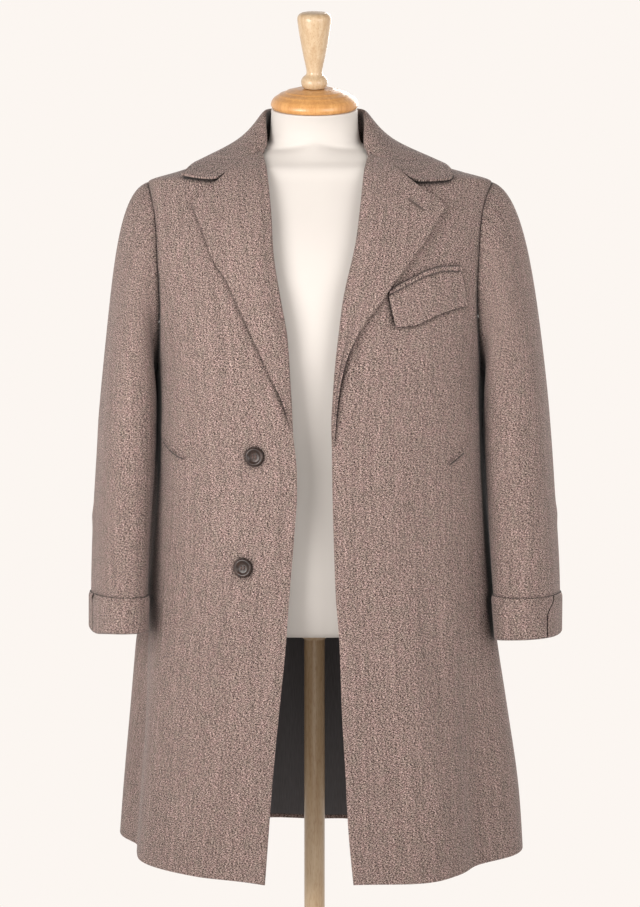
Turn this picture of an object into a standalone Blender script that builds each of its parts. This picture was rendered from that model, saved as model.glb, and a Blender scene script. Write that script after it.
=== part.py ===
"""A single-breasted wool overcoat worn open on a limbless dress form.

Metres, +Z up, front towards -Y, wearer's left towards +X. The origin is the middle of the base's underside.
The coat's body is one surface of level sections: every panel of it, and everything that lies on a panel,
is taken from that surface by an angle round the body and a height, and moved in or out along its normal.
"""

import math
from collections import namedtuple

import bmesh
import bpy
from mathutils import Matrix, Vector

# ---- driving dimensions --------------------------------------------------------------

CLOTH = 0.0028            # wall of the heavy coating
FOLDED_CLOTH = 0.0040     # two layers pressed together, as in a lapel or a collar
LINING = 0.0010
SEAM_GAP = 0.0003         # between two pieces that meet
RIGHT, LEFT = -1, 1       # the wearer's sides

HEM_HEIGHT = 0.470
UNDERARM_HEIGHT = 1.175
SHOULDER_HEIGHT = 1.4416  # of the shoulder points
NECK_HEIGHT = 1.492       # of the neck seam at the side of the neck

Level = namedtuple("Level", "z right left front back square_right square_left square_back")
BODY_LEVELS = [
    # height, half widths, depths before and behind, and how square the section is (2 is an ellipse)
    Level(0.440, 0.2670, 0.3030, 0.1720, 0.1900, 1.95, 2.90, 2.6),
    Level(0.560, 0.2580, 0.2950, 0.1680, 0.1840, 2.00, 2.80, 2.5),
    Level(0.680, 0.2480, 0.2790, 0.1630, 0.1740, 2.05, 2.65, 2.4),
    Level(0.790, 0.2400, 0.2630, 0.1580, 0.1630, 2.10, 2.50, 2.3),
    Level(0.920, 0.2270, 0.2480, 0.1530, 0.1500, 2.20, 2.40, 2.3),
    Level(1.050, 0.2190, 0.2370, 0.1500, 0.1420, 2.30, 2.40, 2.3),
    Level(1.160, 0.2190, 0.2340, 0.1500, 0.1450, 2.40, 2.40, 2.3),
    Level(1.260, 0.2300, 0.2440, 0.1470, 0.1470, 2.40, 2.40, 2.3),
    Level(1.340, 0.2390, 0.2520, 0.1360, 0.1420, 2.40, 2.40, 2.3),
    Level(1.400, 0.2395, 0.2530, 0.1150, 0.1250, 2.30, 2.30, 2.3),
    Level(SHOULDER_HEIGHT, 0.2370, 0.2530, 0.0900, 0.1020, 2.20, 2.20, 2.2),
    Level(1.4560, 0.1960, 0.2110, 0.0780, 0.0950, 2.10, 2.10, 2.1),
    Level(1.4700, 0.1500, 0.1570, 0.0640, 0.0890, 2.00, 2.00, 2.0),
    Level(NECK_HEIGHT, 0.0850, 0.0880, 0.0420, 0.0800, 2.00, 2.00, 2.0),
]

Fold = namedtuple("Fold", "side angle width height top full")
SKIRT_FOLDS = [
    # side, angle round from the centre front, half width of the wave, how far it stands out (or in),
    # the height where it begins and the height where it is full
    Fold(LEFT, 68, 11, -0.040, 1.02, 0.50),
    Fold(LEFT, 44, 12, 0.005, 0.90, 0.50),
    Fold(LEFT, 94, 13, 0.004, 0.90, 0.50),
    Fold(LEFT, 122, 14, 0.014, 0.90, 0.50),
    Fold(LEFT, 150, 13, -0.010, 0.90, 0.50),
    Fold(RIGHT, 90, 9, -0.010, 0.95, 0.60),
    Fold(RIGHT, 115, 17, 0.050, 1.00, 0.76),
    Fold(RIGHT, 150, 13, -0.010, 0.90, 0.50),
    Fold(RIGHT, 32, 13, -0.004, 0.90, 0.50),
]

# the coat's free front edge, and above the break the line that the lapel rolls along
EdgePoint = namedtuple("EdgePoint", "z x")
FRONT_EDGES = {
    RIGHT: [EdgePoint(0.460, 0.0700), EdgePoint(0.643, 0.0549), EdgePoint(0.711, 0.0480),
            EdgePoint(0.793, 0.0398), EdgePoint(0.861, 0.0348), EdgePoint(0.945, 0.0279),
            EdgePoint(1.012, 0.0237), EdgePoint(1.038, 0.0240), EdgePoint(1.090, 0.0292),
            EdgePoint(1.143, 0.0332), EdgePoint(1.222, 0.0384), EdgePoint(1.275, 0.0476),
            EdgePoint(1.344, 0.0582), EdgePoint(1.385, 0.0604), EdgePoint(1.425, 0.0641),
            EdgePoint(1.456, 0.0680), EdgePoint(1.475, 0.0730), EdgePoint(NECK_HEIGHT, 0.0770)],
    LEFT: [EdgePoint(0.460, 0.0555), EdgePoint(0.549, 0.0468), EdgePoint(0.631, 0.0426),
           EdgePoint(0.698, 0.0386), EdgePoint(0.807, 0.0345), EdgePoint(0.861, 0.0301),
           EdgePoint(0.932, 0.0273), EdgePoint(1.012, 0.0252), EdgePoint(1.075, 0.0245),
           EdgePoint(1.161, 0.0285), EdgePoint(1.233, 0.0359), EdgePoint(1.275, 0.0415),
           EdgePoint(1.358, 0.0595), EdgePoint(1.425, 0.0678), EdgePoint(1.456, 0.0715),
           EdgePoint(1.475, 0.0760), EdgePoint(NECK_HEIGHT, 0.0800)],
}
Hem = namedtuple("Hem", "angle right left")
HEM_RISE = [
    # how far the hem stands above the hem's level, by the angle round from the centre front
    Hem(0, -0.0125, -0.0050),
    Hem(35, -0.0048, -0.0045),
    Hem(90, 0.0020, 0.0085),
    Hem(120, 0.0140, 0.0080),
    Hem(180, 0.0070, 0.0070),
]
HEM_FADE = 0.15           # the height over which the rows even out above the hem

ARMHOLE_SEGMENTS = 20
ARMHOLE_HALF_ANGLE = math.radians(17)
ARMHOLE_MIDDLE = (SHOULDER_HEIGHT + UNDERARM_HEIGHT) / 2
ARMHOLE_HALF_HEIGHT = (SHOULDER_HEIGHT - UNDERARM_HEIGHT) / 2

FRONT_COLUMNS, BACK_COLUMNS = 12, 9
CROWDING, CROWDING_START = 0.65, 1.33
SKIRT_ROWS = [0.470, 0.490, 0.53, 0.58, 0.635, 0.71, 0.785, 0.86, 0.93, 1.00, 1.06, 1.12]
SHOULDER_ROWS = [1.450, 1.460, 1.471, 1.482, NECK_HEIGHT]

# the lapel's free edge from its tip down to the break
LAPEL_EDGES = {
    RIGHT: [EdgePoint(1.416, 0.1777), EdgePoint(1.405, 0.1712), EdgePoint(1.359, 0.1499),
            EdgePoint(1.327, 0.1364), EdgePoint(1.298, 0.1176), EdgePoint(1.274, 0.1069),
            EdgePoint(1.228, 0.0858), EdgePoint(1.170, 0.0595), EdgePoint(1.128, 0.0411),
            EdgePoint(1.094, 0.0325)],
    LEFT: [EdgePoint(1.413, 0.1830), EdgePoint(1.400, 0.1795), EdgePoint(1.356, 0.1524),
           EdgePoint(1.324, 0.1282), EdgePoint(1.295, 0.1068), EdgePoint(1.275, 0.0932),
           EdgePoint(1.240, 0.0671), EdgePoint(1.184, 0.0415), EdgePoint(1.133, 0.0325),
           EdgePoint(1.072, 0.0275)],
}
# where lapel and collar part: at the roll, and at the notch
GORGE = {RIGHT: EdgePoint(1.4790, 0.0735), LEFT: EdgePoint(1.4760, 0.0770)}
NOTCH = {RIGHT: EdgePoint(1.4370, 0.1395), LEFT: EdgePoint(1.4345, 0.1475)}
LAPEL_ROWS, LAPEL_COLUMNS = 13, 9
LAPEL_CLEAR = 0.0014      # between the front and the lapel's flat edge
LAPEL_ROLL = 0.0060       # how much further the soft roll stands off the front

COLLAR_TIPS = {RIGHT: EdgePoint(1.4450, 0.1825), LEFT: EdgePoint(1.4420, 0.2020)}
COLLAR_EDGE_SIDE, COLLAR_EDGE_BACK = 1.4672, 1.4660   # the fall's edge over the shoulder and behind
NeckPoint = namedtuple("NeckPoint", "share x y z")
ROLL_RING = [
    # the collar's roll, by the share of the way from the gorge to the centre back, as on the wearer's right
    NeckPoint(0.00, 0.0715, -0.0500, 1.4890),
    NeckPoint(0.15, 0.0720, -0.0300, 1.5100),
    NeckPoint(0.32, 0.0715, -0.0060, 1.5345),
    NeckPoint(0.50, 0.0680, 0.0220, 1.5440),
    NeckPoint(0.72, 0.0520, 0.0560, 1.5480),
    NeckPoint(1.00, 0.0000, 0.0770, 1.5490),
]
ROLL_WIDER = {RIGHT: 0.0, LEFT: 0.0030}   # how much further out the gorge lies
STAND_FOOT_START = math.radians(62)       # where the neck seam begins on the shoulder, from the front
STAND_FOOT_IN = 0.93                      # the stand's foot as a share of the neck seam's width
COLLAR_CLEAR = 0.0018     # between the body and the fall's edge
COLLAR_SHOULDER_LIFT = 0.0024   # how much further the edge stands off over the shoulder
COLLAR_FRONT_BULGE = 0.0060
COLLAR_NOTCH_SHARE = 0.65               # the gorge's share of the collar's front, the rest is its own end
GORGE_GAP = 0.0024
COLLAR_EASE = (0.225, 0.060)      # how far the first stations take on the shape of the front end
COLLAR_STATIONS, COLLAR_FALL_POINTS, COLLAR_STAND_POINTS = 13, 6, 3   # stations on each half

Ring = namedtuple("Ring", "z x y thick deep turn")
SLEEVE_RINGS = {
    # height, the middle's place, half thickness, half depth, and how far the front end turns in, in degrees
    RIGHT: [Ring(1.100, 0.2690, 0.002, 0.0400, 0.078, 14), Ring(1.050, 0.2712, -0.004, 0.0395, 0.075, 16),
            Ring(0.985, 0.2752, -0.015, 0.0380, 0.072, 18), Ring(0.920, 0.2780, -0.027, 0.0365, 0.069, 20),
            Ring(0.860, 0.2795, -0.039, 0.0355, 0.066, 22), Ring(0.8110, 0.2804, -0.049, 0.0346, 0.064, 23)],
    LEFT: [Ring(1.100, 0.2915, 0.002, 0.0460, 0.078, 14), Ring(1.050, 0.2940, -0.004, 0.0465, 0.075, 16),
           Ring(0.985, 0.2975, -0.015, 0.0460, 0.072, 18), Ring(0.920, 0.3010, -0.027, 0.0455, 0.070, 20),
           Ring(0.860, 0.3040, -0.039, 0.0450, 0.067, 22), Ring(0.8020, 0.3064, -0.051, 0.0427, 0.065, 23)],
}
SLEEVE_CAP_STEPS = [0.0, 0.10, 0.22, 0.36, 0.52, 0.68, 0.84]
SLEEVE_FRONT_SEAM, SLEEVE_BACK_SEAM = 7, -6           # in armhole segments from the top of the shoulder
SLEEVE_SQUARE = 2.3
SLEEVE_UNDER_OUT, SLEEVE_HEAD_OUT = 0.012, 0.035      # how far it leaves the armhole: below, and more on top
SLEEVE_LEAN_IN, SLEEVE_HANG = 0.017, 0.58
CUFF_TOP, CUFF_PROUD = 0.8560, 0.0016
CUFF_BOTTOM = {RIGHT: 0.8075, LEFT: 0.7990}
CUFF_RISE = {RIGHT: 0.0010, LEFT: 0.0045}             # how much higher the outer side ends than the middle
CUFF_SLIT = {RIGHT: -8.0, LEFT: 42.0}                 # degrees round from the outer side towards the front
CUFF_SLIT_HALF = 1.6
CUFF_COLUMNS, CUFF_ROWS = 24, 3

FlapPoint = namedtuple("FlapPoint", "x top bottom")
CHEST_FLAP = [
    FlapPoint(0.1060, 1.2810, 1.2370), FlapPoint(0.1290, 1.2925, 1.2385), FlapPoint(0.1600, 1.3075, 1.2515),
    FlapPoint(0.1840, 1.3135, 1.2605), FlapPoint(0.2075, 1.3140, 1.2665),
]
CHEST_JET_HEIGHT, FLAP_LEAN, FLAP_LOOSE = 0.0050, 0.0080, 0.0008
JET_CLOTH = 0.0016
POCKET_COLUMNS = 9
Slant = namedtuple("Slant", "x z")
SIDE_POCKETS = {
    RIGHT: (Slant(0.1830, 1.0519), Slant(0.2150, 1.0760)),
    LEFT: (Slant(0.1880, 1.0445), Slant(0.2200, 1.0705)),
}
SIDE_POCKET_WIDTH = 0.0060

BUTTONS = {"button_upper": Slant(0.0823, 1.0583), "button_lower": Slant(0.0983, 0.9041)}
BUTTON_THICKNESS, BUTTON_HOLE, BUTTON_HOLE_PITCH = 0.0042, 0.0012, 0.0042
BUTTON_CLEAR = 0.00045    # above the body's surface, so that it lies a seam's gap off the front's facets
Turned = namedtuple("Turned", "radius height")   # a turned piece's outline, from its top down its outer side
BUTTON_PROFILE = [
    Turned(0, 0.0026), Turned(0.0069, 0.0026), Turned(0.0087, 0.0034), Turned(0.0103, BUTTON_THICKNESS),
    Turned(0.0119, 0.0041), Turned(0.0132, 0.0030), Turned(0.0129, 0.0015), Turned(0.0106, 0), Turned(0, 0),
]

FormLevel = namedtuple("FormLevel", "z side front back")
FORM_LEVELS = [
    FormLevel(0.800, 0.1480, 0.0980, 0.1080), FormLevel(0.806, 0.1540, 0.1040, 0.1140),
    FormLevel(0.850, 0.1620, 0.1120, 0.1230), FormLevel(0.900, 0.1640, 0.1130, 0.1230),
    FormLevel(0.970, 0.1570, 0.1080, 0.1130), FormLevel(1.050, 0.1500, 0.1050, 0.1030),
    FormLevel(1.130, 0.1570, 0.1120, 0.1060), FormLevel(1.210, 0.1740, 0.1210, 0.1150),
    FormLevel(1.290, 0.1880, 0.1210, 0.1200), FormLevel(1.350, 0.1970, 0.1110, 0.1160),
    FormLevel(1.395, 0.2010, 0.0960, 0.1040), FormLevel(1.425, 0.1990, 0.0830, 0.0920),
    FormLevel(1.440, 0.1930, 0.0765, 0.0860),
]
FORM_SHOULDER_ROWS = [1.4600, 1.4710, 1.4820, NECK_HEIGHT]
FORM_CLEAR = 0.0009       # the coat rests this far off the form along the shoulder line
FORM_EASE = 0.0016        # and this much further before and behind
CAP_TILT, CAP_HEIGHT = math.radians(14), 0.0285
NeckLevel = namedtuple("NeckLevel", "z side front back tilt")
NECK_LEVELS = [
    NeckLevel(1.4990, 0.0660, 0.0440, 0.0680, 0.0),
    NeckLevel(1.5110, 0.0635, 0.0480, 0.0640, 0.05),
    NeckLevel(1.5290, 0.0620, 0.0540, 0.0610, 0.14),
    NeckLevel(1.5455, 0.0615, 0.0590, 0.0590, math.tan(CAP_TILT)),
]
FORM_SEGMENTS = 28
CAP_PROFILE = [
    Turned(0, CAP_HEIGHT), Turned(0.0260, CAP_HEIGHT), Turned(0.0330, 0.0266), Turned(0.0400, 0.0250),
    Turned(0.0418, 0.0234), Turned(0.0500, 0.0207), Turned(0.0517, 0.0189), Turned(0.0580, 0.0150),
    Turned(0.0612, 0.0105), Turned(0.0624, 0.0062), Turned(0.0612, 0.0025), Turned(0.0585, 0), Turned(0, 0),
]
FINIAL_PROFILE = [
    Turned(0, 0.1080), Turned(0.0130, 0.1075), Turned(0.0205, 0.1058), Turned(0.0243, 0.1010),
    Turned(0.0240, 0.0940), Turned(0.0206, 0.0720), Turned(0.0165, 0.0500), Turned(0.0125, 0.0320),
    Turned(0.0110, 0.0240), Turned(0.0116, 0.0195), Turned(0.0165, 0.0160), Turned(0.0190, 0.0120),
    Turned(0.0190, 0.0065), Turned(0.0165, 0.0015), Turned(0.0150, 0), Turned(0, 0),
]
POLE_RADIUS, BASE_RADIUS, BASE_HEIGHT = 0.0150, 0.1900, 0.0320
POLE_TOP = FORM_LEVELS[0].z - SEAM_GAP
POLE_PROFILE = [
    Turned(0, POLE_TOP), Turned(0.0300, POLE_TOP), Turned(0.0300, POLE_TOP - 0.0060),
    Turned(POLE_RADIUS, POLE_TOP - 0.0160), Turned(POLE_RADIUS, BASE_HEIGHT + SEAM_GAP),
    Turned(0, BASE_HEIGHT + SEAM_GAP),
]
BASE_PROFILE = [
    Turned(0, BASE_HEIGHT), Turned(0.0380, BASE_HEIGHT), Turned(0.0480, 0.0260), Turned(0.1450, 0.0200),
    Turned(0.1700, 0.0170), Turned(BASE_RADIUS - 0.0040, 0.0130), Turned(BASE_RADIUS, 0.0090),
    Turned(BASE_RADIUS, 0.0030), Turned(BASE_RADIUS - 0.0030, 0), Turned(0, 0),
]

# ---- helpers -------------------------------------------------------------------------


def smooth_step(t):
    t = min(1.0, max(0.0, t))
    return t * t * (3 - 2 * t)


def along(rows, key, value, wanted):
    """The named column of a table at `value` of its key column, on a curve that never overshoots a row."""
    xs = [getattr(row, key) for row in rows]
    ys = [getattr(row, wanted) for row in rows]
    value = min(max(value, xs[0]), xs[-1])
    i = next(k for k in range(len(xs) - 1) if value <= xs[k + 1])
    steps = [xs[k + 1] - xs[k] for k in range(len(xs) - 1)]
    slopes = [(ys[k + 1] - ys[k]) / steps[k] for k in range(len(xs) - 1)]

    def tangent(k):
        if k in (0, len(xs) - 1):
            return slopes[min(k, len(slopes) - 1)]
        if slopes[k - 1] * slopes[k] <= 0:
            return 0.0
        before, after = 2 * steps[k] + steps[k - 1], steps[k] + 2 * steps[k - 1]
        return (before + after) / (before / slopes[k - 1] + after / slopes[k])

    t = (value - xs[i]) / steps[i]
    return (
        ys[i] * (1 + 2 * t) * (1 - t) ** 2
        + tangent(i) * steps[i] * t * (1 - t) ** 2
        + ys[i + 1] * t * t * (3 - 2 * t)
        + tangent(i + 1) * steps[i] * t * t * (t - 1)
    )


def curve(start, leave, arrive, end, t):
    """A cubic curve from start to end that leaves and arrives along its two handles."""
    return start * (1 - t) ** 3 + leave * 3 * t * (1 - t) ** 2 + arrive * 3 * t * t * (1 - t) + end * t**3


def radius(angle, side, front, back, square_front, square_back):
    """Distance from the middle to a squared ellipse's edge; angle 0 is the front, pi the back."""
    deep, square = (front, square_front) if angle < math.pi / 2 else (back, square_back)
    across, fore = abs(math.sin(angle)) / side, abs(math.cos(angle)) / deep
    return (across**square + fore**square) ** (-1 / square)


def surface_normal(point, u, v, du, dv, outward):
    """Unit normal of the surface point(u, v), turned towards `outward`."""
    normal = (point(u + du, v) - point(u - du, v)).cross(point(u, v + dv) - point(u, v - dv)).normalized()
    return normal if normal.dot(outward) > 0 else -normal


# ---- the coat's body surface ---------------------------------------------------------


def body_point(side, angle, z):
    size = {name: along(BODY_LEVELS, "z", z, name) for name in Level._fields if name != "z"}
    word = "left" if side == LEFT else "right"
    half, square = size[word], size[f"square_{word}"]
    r = radius(angle, half, size["front"], size["back"], square, size["square_back"])
    for fold in SKIRT_FOLDS:
        if fold.side == side:
            wave = math.exp(-(((math.degrees(angle) - fold.angle) / fold.width) ** 2))
            r += fold.height * wave * smooth_step((fold.top - z) / (fold.top - fold.full))
    return Vector((side * r * math.sin(angle), -r * math.cos(angle), z))


def body_normal(side, angle, z):
    angle = min(max(angle, 0.02), math.pi - 0.0005)
    z = min(z, NECK_HEIGHT - 0.001)
    outward = Vector((side * math.sin(angle), -math.cos(angle), 0.3))
    return surface_normal(lambda a, h: body_point(side, a, h), angle, z, 0.004, 0.0008, outward)


def off_body(side, angle, z, lift):
    """The body's point, moved out along its normal (or in, for a negative lift)."""
    return body_point(side, angle, z) + body_normal(side, angle, z) * lift


def angle_at(side, x, z):
    """The angle on the front at which the body is x away from the middle plane."""
    low, high = 0.0, math.radians(89.5)
    for _ in range(40):
        middle = (low + high) / 2
        if abs(body_point(side, middle, z).x) < x:
            low = middle
        else:
            high = middle
    return low


def off_front(side, x, z, lift):
    return off_body(side, angle_at(side, x, z), z, lift)


def armhole_angle(z):
    """How far the armhole reaches before and behind the side line at this height."""
    across = min(1.0, abs(z - ARMHOLE_MIDDLE) / ARMHOLE_HALF_HEIGHT)
    return ARMHOLE_HALF_ANGLE * (1 - across**2) ** 0.6


def hem_shift(side, angle, z):
    rise = along(HEM_RISE, "angle", math.degrees(angle), "left" if side == LEFT else "right")
    return rise * (1 - smooth_step((z - HEM_HEIGHT) / HEM_FADE))


def crowded(share, z):
    """A panel's column as a share of its width from the side: high up they crowd to the shoulder line."""
    return share ** (1 + CROWDING * smooth_step((z - CROWDING_START) / (SHOULDER_HEIGHT - CROWDING_START)))


def armhole_rows():
    steps = ARMHOLE_SEGMENTS // 2
    return [ARMHOLE_MIDDLE - ARMHOLE_HALF_HEIGHT * math.cos(math.pi * k / steps) for k in range(steps + 1)]


PANEL_ROWS = SKIRT_ROWS + armhole_rows() + SHOULDER_ROWS
LINING_TOP_ROW = SKIRT_ROWS[-1]

# ---- making solids -------------------------------------------------------------------

Finish = namedtuple("Finish", "colour roughness metallic")
FINISHES = {
    "coating": Finish((0.30, 0.205, 0.165), 0.95, 0.0),
    "lining": Finish((0.032, 0.027, 0.030), 0.55, 0.0),
    "horn": Finish((0.050, 0.026, 0.018), 0.30, 0.0),
    "form cover": Finish((0.86, 0.82, 0.76), 0.60, 0.0),
    "beech": Finish((0.72, 0.50, 0.26), 0.35, 0.0),
}


def material(kind, name):
    made = bpy.data.materials.new(name)
    made.use_nodes = True
    shader = made.node_tree.nodes["Principled BSDF"]
    finish = FINISHES[kind]
    shader.inputs["Base Color"].default_value = (*finish.colour, 1)
    shader.inputs["Roughness"].default_value = finish.roughness
    shader.inputs["Metallic"].default_value = finish.metallic
    return made


def add_object(name, mesh, kind, collection):
    mesh.materials.append(material(kind, name))
    mesh.shade_smooth()
    mesh.set_sharp_from_angle(angle=math.radians(40))
    obj = bpy.data.objects.new(name, mesh)
    collection.objects.link(obj)
    return obj


def add_closed(name, bm, kind, collection):
    bmesh.ops.recalc_face_normals(bm, faces=bm.faces[:])
    if bm.calc_volume(signed=True) < 0:
        bmesh.ops.reverse_faces(bm, faces=bm.faces[:])
    mesh = bpy.data.meshes.new(name)
    bm.to_mesh(mesh)
    bm.free()
    return add_object(name, mesh, kind, collection)


def add_cloth(name, outer, inner, columns, rows, kind, collection):
    """A closed wall: a grid's first layer takes the points outer(u, v), its second takes inner(u, v)."""
    bm = bmesh.new()
    bmesh.ops.create_grid(bm, x_segments=columns, y_segments=rows, size=1)
    grown = bmesh.ops.extrude_face_region(bm, geom=bm.faces[:], use_keep_orig=True)
    second = {item for item in grown["geom"] if isinstance(item, bmesh.types.BMVert)}
    for vert in bm.verts:
        u, v = (vert.co.x + 1) / 2, (vert.co.y + 1) / 2
        vert.co = inner(u, v) if vert in second else outer(u, v)
    return add_closed(name, bm, kind, collection)


def add_loft(name, point, segments, rows, kind, collection):
    """A solid through closed rings, flat at both ends."""
    bm = bmesh.new()
    bmesh.ops.create_grid(bm, x_segments=segments, y_segments=rows, size=1)
    for vert in bm.verts:
        vert.co = point((vert.co.x + 1) / 2, (vert.co.y + 1) / 2)
    bmesh.ops.remove_doubles(bm, verts=bm.verts[:], dist=1e-6)
    bmesh.ops.holes_fill(bm, edges=[edge for edge in bm.edges if edge.is_boundary], sides=0)
    return add_closed(name, bm, kind, collection)


def add_turned(name, profile, steps, kind, collection, place):
    mesh = bpy.data.meshes.new(name)
    points = [(row.radius, 0, row.height) for row in profile]
    mesh.from_pydata(points, [(k, k + 1) for k in range(len(points) - 1)], [])
    obj = add_object(name, mesh, kind, collection)
    screw = obj.modifiers.new("turn", "SCREW")
    screw.steps = screw.render_steps = steps
    screw.use_merge_vertices = True
    screw.merge_threshold = 1e-5
    obj.matrix_world = place
    return obj


def spread(steps, t):
    """The value at t (0 to 1) along a list of evenly numbered steps."""
    place = t * (len(steps) - 1)
    k = min(int(round(place)), len(steps) - 1)
    return steps[k]


# ---- body panels ---------------------------------------------------------------------


def add_front(side, name, collection):
    def at(u, v, lift):
        z = spread(PANEL_ROWS, v)
        start = angle_at(side, along(FRONT_EDGES[side], "z", z, "x"), z)
        end = math.pi - back_angles(side, z)[0]
        angle = end + (start - end) * crowded(1 - u, z)
        return off_body(side, angle, z + hem_shift(side, angle, z), lift)

    add_cloth(name, lambda u, v: at(u, v, 0), lambda u, v: at(u, v, -CLOTH),
              FRONT_COLUMNS, len(PANEL_ROWS) - 1, "coating", collection)


def add_back(side, name, collection):
    def at(u, v, lift):
        z = spread(PANEL_ROWS, v)
        start, end = back_angles(side, z)
        angle = start + (end - start) * crowded(u if side == RIGHT else 1 - u, z)
        point = off_body(side, angle, z + hem_shift(side, angle, z), lift)
        point.x = side * max(side * point.x, SEAM_GAP / 2)
        return point

    add_cloth(name, lambda u, v: at(u, v, 0), lambda u, v: at(u, v, -CLOTH),
              BACK_COLUMNS, len(PANEL_ROWS) - 1, "coating", collection)


def back_angles(side, z):
    """Where the back panel starts, at the side seam or the armhole, and where it ends, at the centre seam."""
    half = SEAM_GAP / 2
    open_arm = armhole_angle(z) if UNDERARM_HEIGHT < z < SHOULDER_HEIGHT else 0.0
    start = math.pi / 2 + max(open_arm, half / abs(body_point(side, math.pi / 2, z).x))
    return start, math.pi - half / abs(body_point(side, math.pi, z).y)


def add_lining(collection):
    rows = PANEL_ROWS[1:PANEL_ROWS.index(LINING_TOP_ROW) + 1]
    columns = BACK_COLUMNS - 1

    def at(u, v, lift):
        z = spread(rows, v)
        step = round((2 * u - 1) * columns)
        side = LEFT if step > 0 else RIGHT
        start, end = back_angles(side, z)
        angle = start + (end - start) * crowded(1 - abs(step) / BACK_COLUMNS, z)
        point = off_body(side, angle, z + hem_shift(side, angle, z), lift)
        if step == 0:
            point.x = 0.0
        return point

    outer = -(CLOTH + 2 * SEAM_GAP)
    add_cloth("back_lining", lambda u, v: at(u, v, outer), lambda u, v: at(u, v, outer - LINING),
              2 * columns, len(rows) - 1, "lining", collection)


# ---- lapels and collar ---------------------------------------------------------------


def point_on(rows, t):
    """(x, z) at the share t of the way along an edge's rows, by length."""
    lengths = [0.0]
    for first, second in zip(rows, rows[1:]):
        lengths.append(lengths[-1] + math.hypot(second.x - first.x, second.z - first.z))
    place = t * lengths[-1]
    k = next(i for i in range(len(rows) - 1) if place <= lengths[i + 1] + 1e-12)
    share = (place - lengths[k]) / (lengths[k + 1] - lengths[k])
    return rows[k].x + (rows[k + 1].x - rows[k].x) * share, rows[k].z + (rows[k + 1].z - rows[k].z) * share


def roll_rows(side):
    """The roll line from the gorge down to the break."""
    break_z = LAPEL_EDGES[side][-1].z
    rows = [row for row in reversed(FRONT_EDGES[side]) if break_z < row.z < GORGE[side].z - 0.01]
    return [GORGE[side]] + rows + [EdgePoint(break_z, along(FRONT_EDGES[side], "z", break_z, "x"))]


def add_lapel(side, name, collection):
    roll, edge = roll_rows(side), LAPEL_EDGES[side]
    middle_lift = LAPEL_CLEAR + FOLDED_CLOTH / 2

    def at(u, v, lift):
        roll_x, roll_z = point_on(roll, 1 - v)
        edge_x, edge_z = point_on(edge, 1 - v)
        x, z = roll_x + (edge_x - roll_x) * u, roll_z + (edge_z - roll_z) * u
        bulge = LAPEL_ROLL * math.sin(math.pi * u**0.6) * smooth_step(abs(edge_x - roll_x) / 0.05)
        return off_front(side, x, z, middle_lift + bulge + lift)

    add_cloth(name, lambda u, v: at(u, v, FOLDED_CLOTH / 2), lambda u, v: at(u, v, -FOLDED_CLOTH / 2),
              LAPEL_COLUMNS, LAPEL_ROWS, "coating", collection)


def roll_point(side, t):
    """The collar's roll from the gorge (t = 0) to the centre back (t = 1)."""
    x, y, z = (along(ROLL_RING, "share", t, name) for name in ("x", "y", "z"))
    return Vector((side * (x + ROLL_WIDER[side] * (1 - t)), y, z))


def collar_edge(side, t):
    """(angle, height) of the fall's free edge on the body, from the tip to the centre back."""
    tip = COLLAR_TIPS[side]
    tip_angle = angle_at(side, tip.x, tip.z)
    angle = tip_angle + (math.pi - tip_angle) * t
    over = min(1.0, (angle - tip_angle) / (math.radians(95) - tip_angle)) ** 0.6
    z = tip.z + (COLLAR_EDGE_SIDE - tip.z) * over + (COLLAR_EDGE_BACK - COLLAR_EDGE_SIDE) * smooth_step(t)
    return angle, z


def collar_profile(side, t):
    """Points of the collar's middle line at the station t: up the stand, over the roll and down the fall."""
    half = FOLDED_CLOTH / 2
    roll = roll_point(side, t)
    neck_angle = STAND_FOOT_START + (math.pi - STAND_FOOT_START) * smooth_step(t) ** 0.9
    foot = body_point(side, neck_angle, NECK_HEIGHT) + Vector((0, 0, half + SEAM_GAP))
    foot.x *= STAND_FOOT_IN
    foot = (roll_point(side, 0) + Vector((-side * 0.002, 0.004, -0.006))).lerp(foot, smooth_step(t / 0.16))
    outwards = Vector((roll.x, roll.y - 0.005, 0)).normalized()
    stand_top = roll - outwards * half * 1.4 - Vector((0, 0, half))
    stand = [foot.lerp(stand_top, k / COLLAR_STAND_POINTS) for k in range(COLLAR_STAND_POINTS + 1)]
    angle, z = collar_edge(side, t)
    over_shoulder = math.exp(-(((math.degrees(angle) - 88) / 19) ** 2))
    edge = off_body(side, angle, z, half + COLLAR_CLEAR + COLLAR_SHOULDER_LIFT * over_shoulder)
    uphill = (off_body(side, angle, min(z + 0.012, NECK_HEIGHT - 0.002), half) - edge).normalized()
    shoulder = edge + uphill * 0.035 + Vector((0, 0, 0.016))
    start = roll + outwards * half * 1.4
    leave = start + outwards * 0.012 - Vector((0, 0, 0.010))
    fall = []
    for k in range(1, COLLAR_FALL_POINTS + 1):
        fall.append(curve(start, leave, shoulder, edge, k / COLLAR_FALL_POINTS))
    return stand + [roll + Vector((0, 0, half * 0.6)), start] + fall


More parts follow.
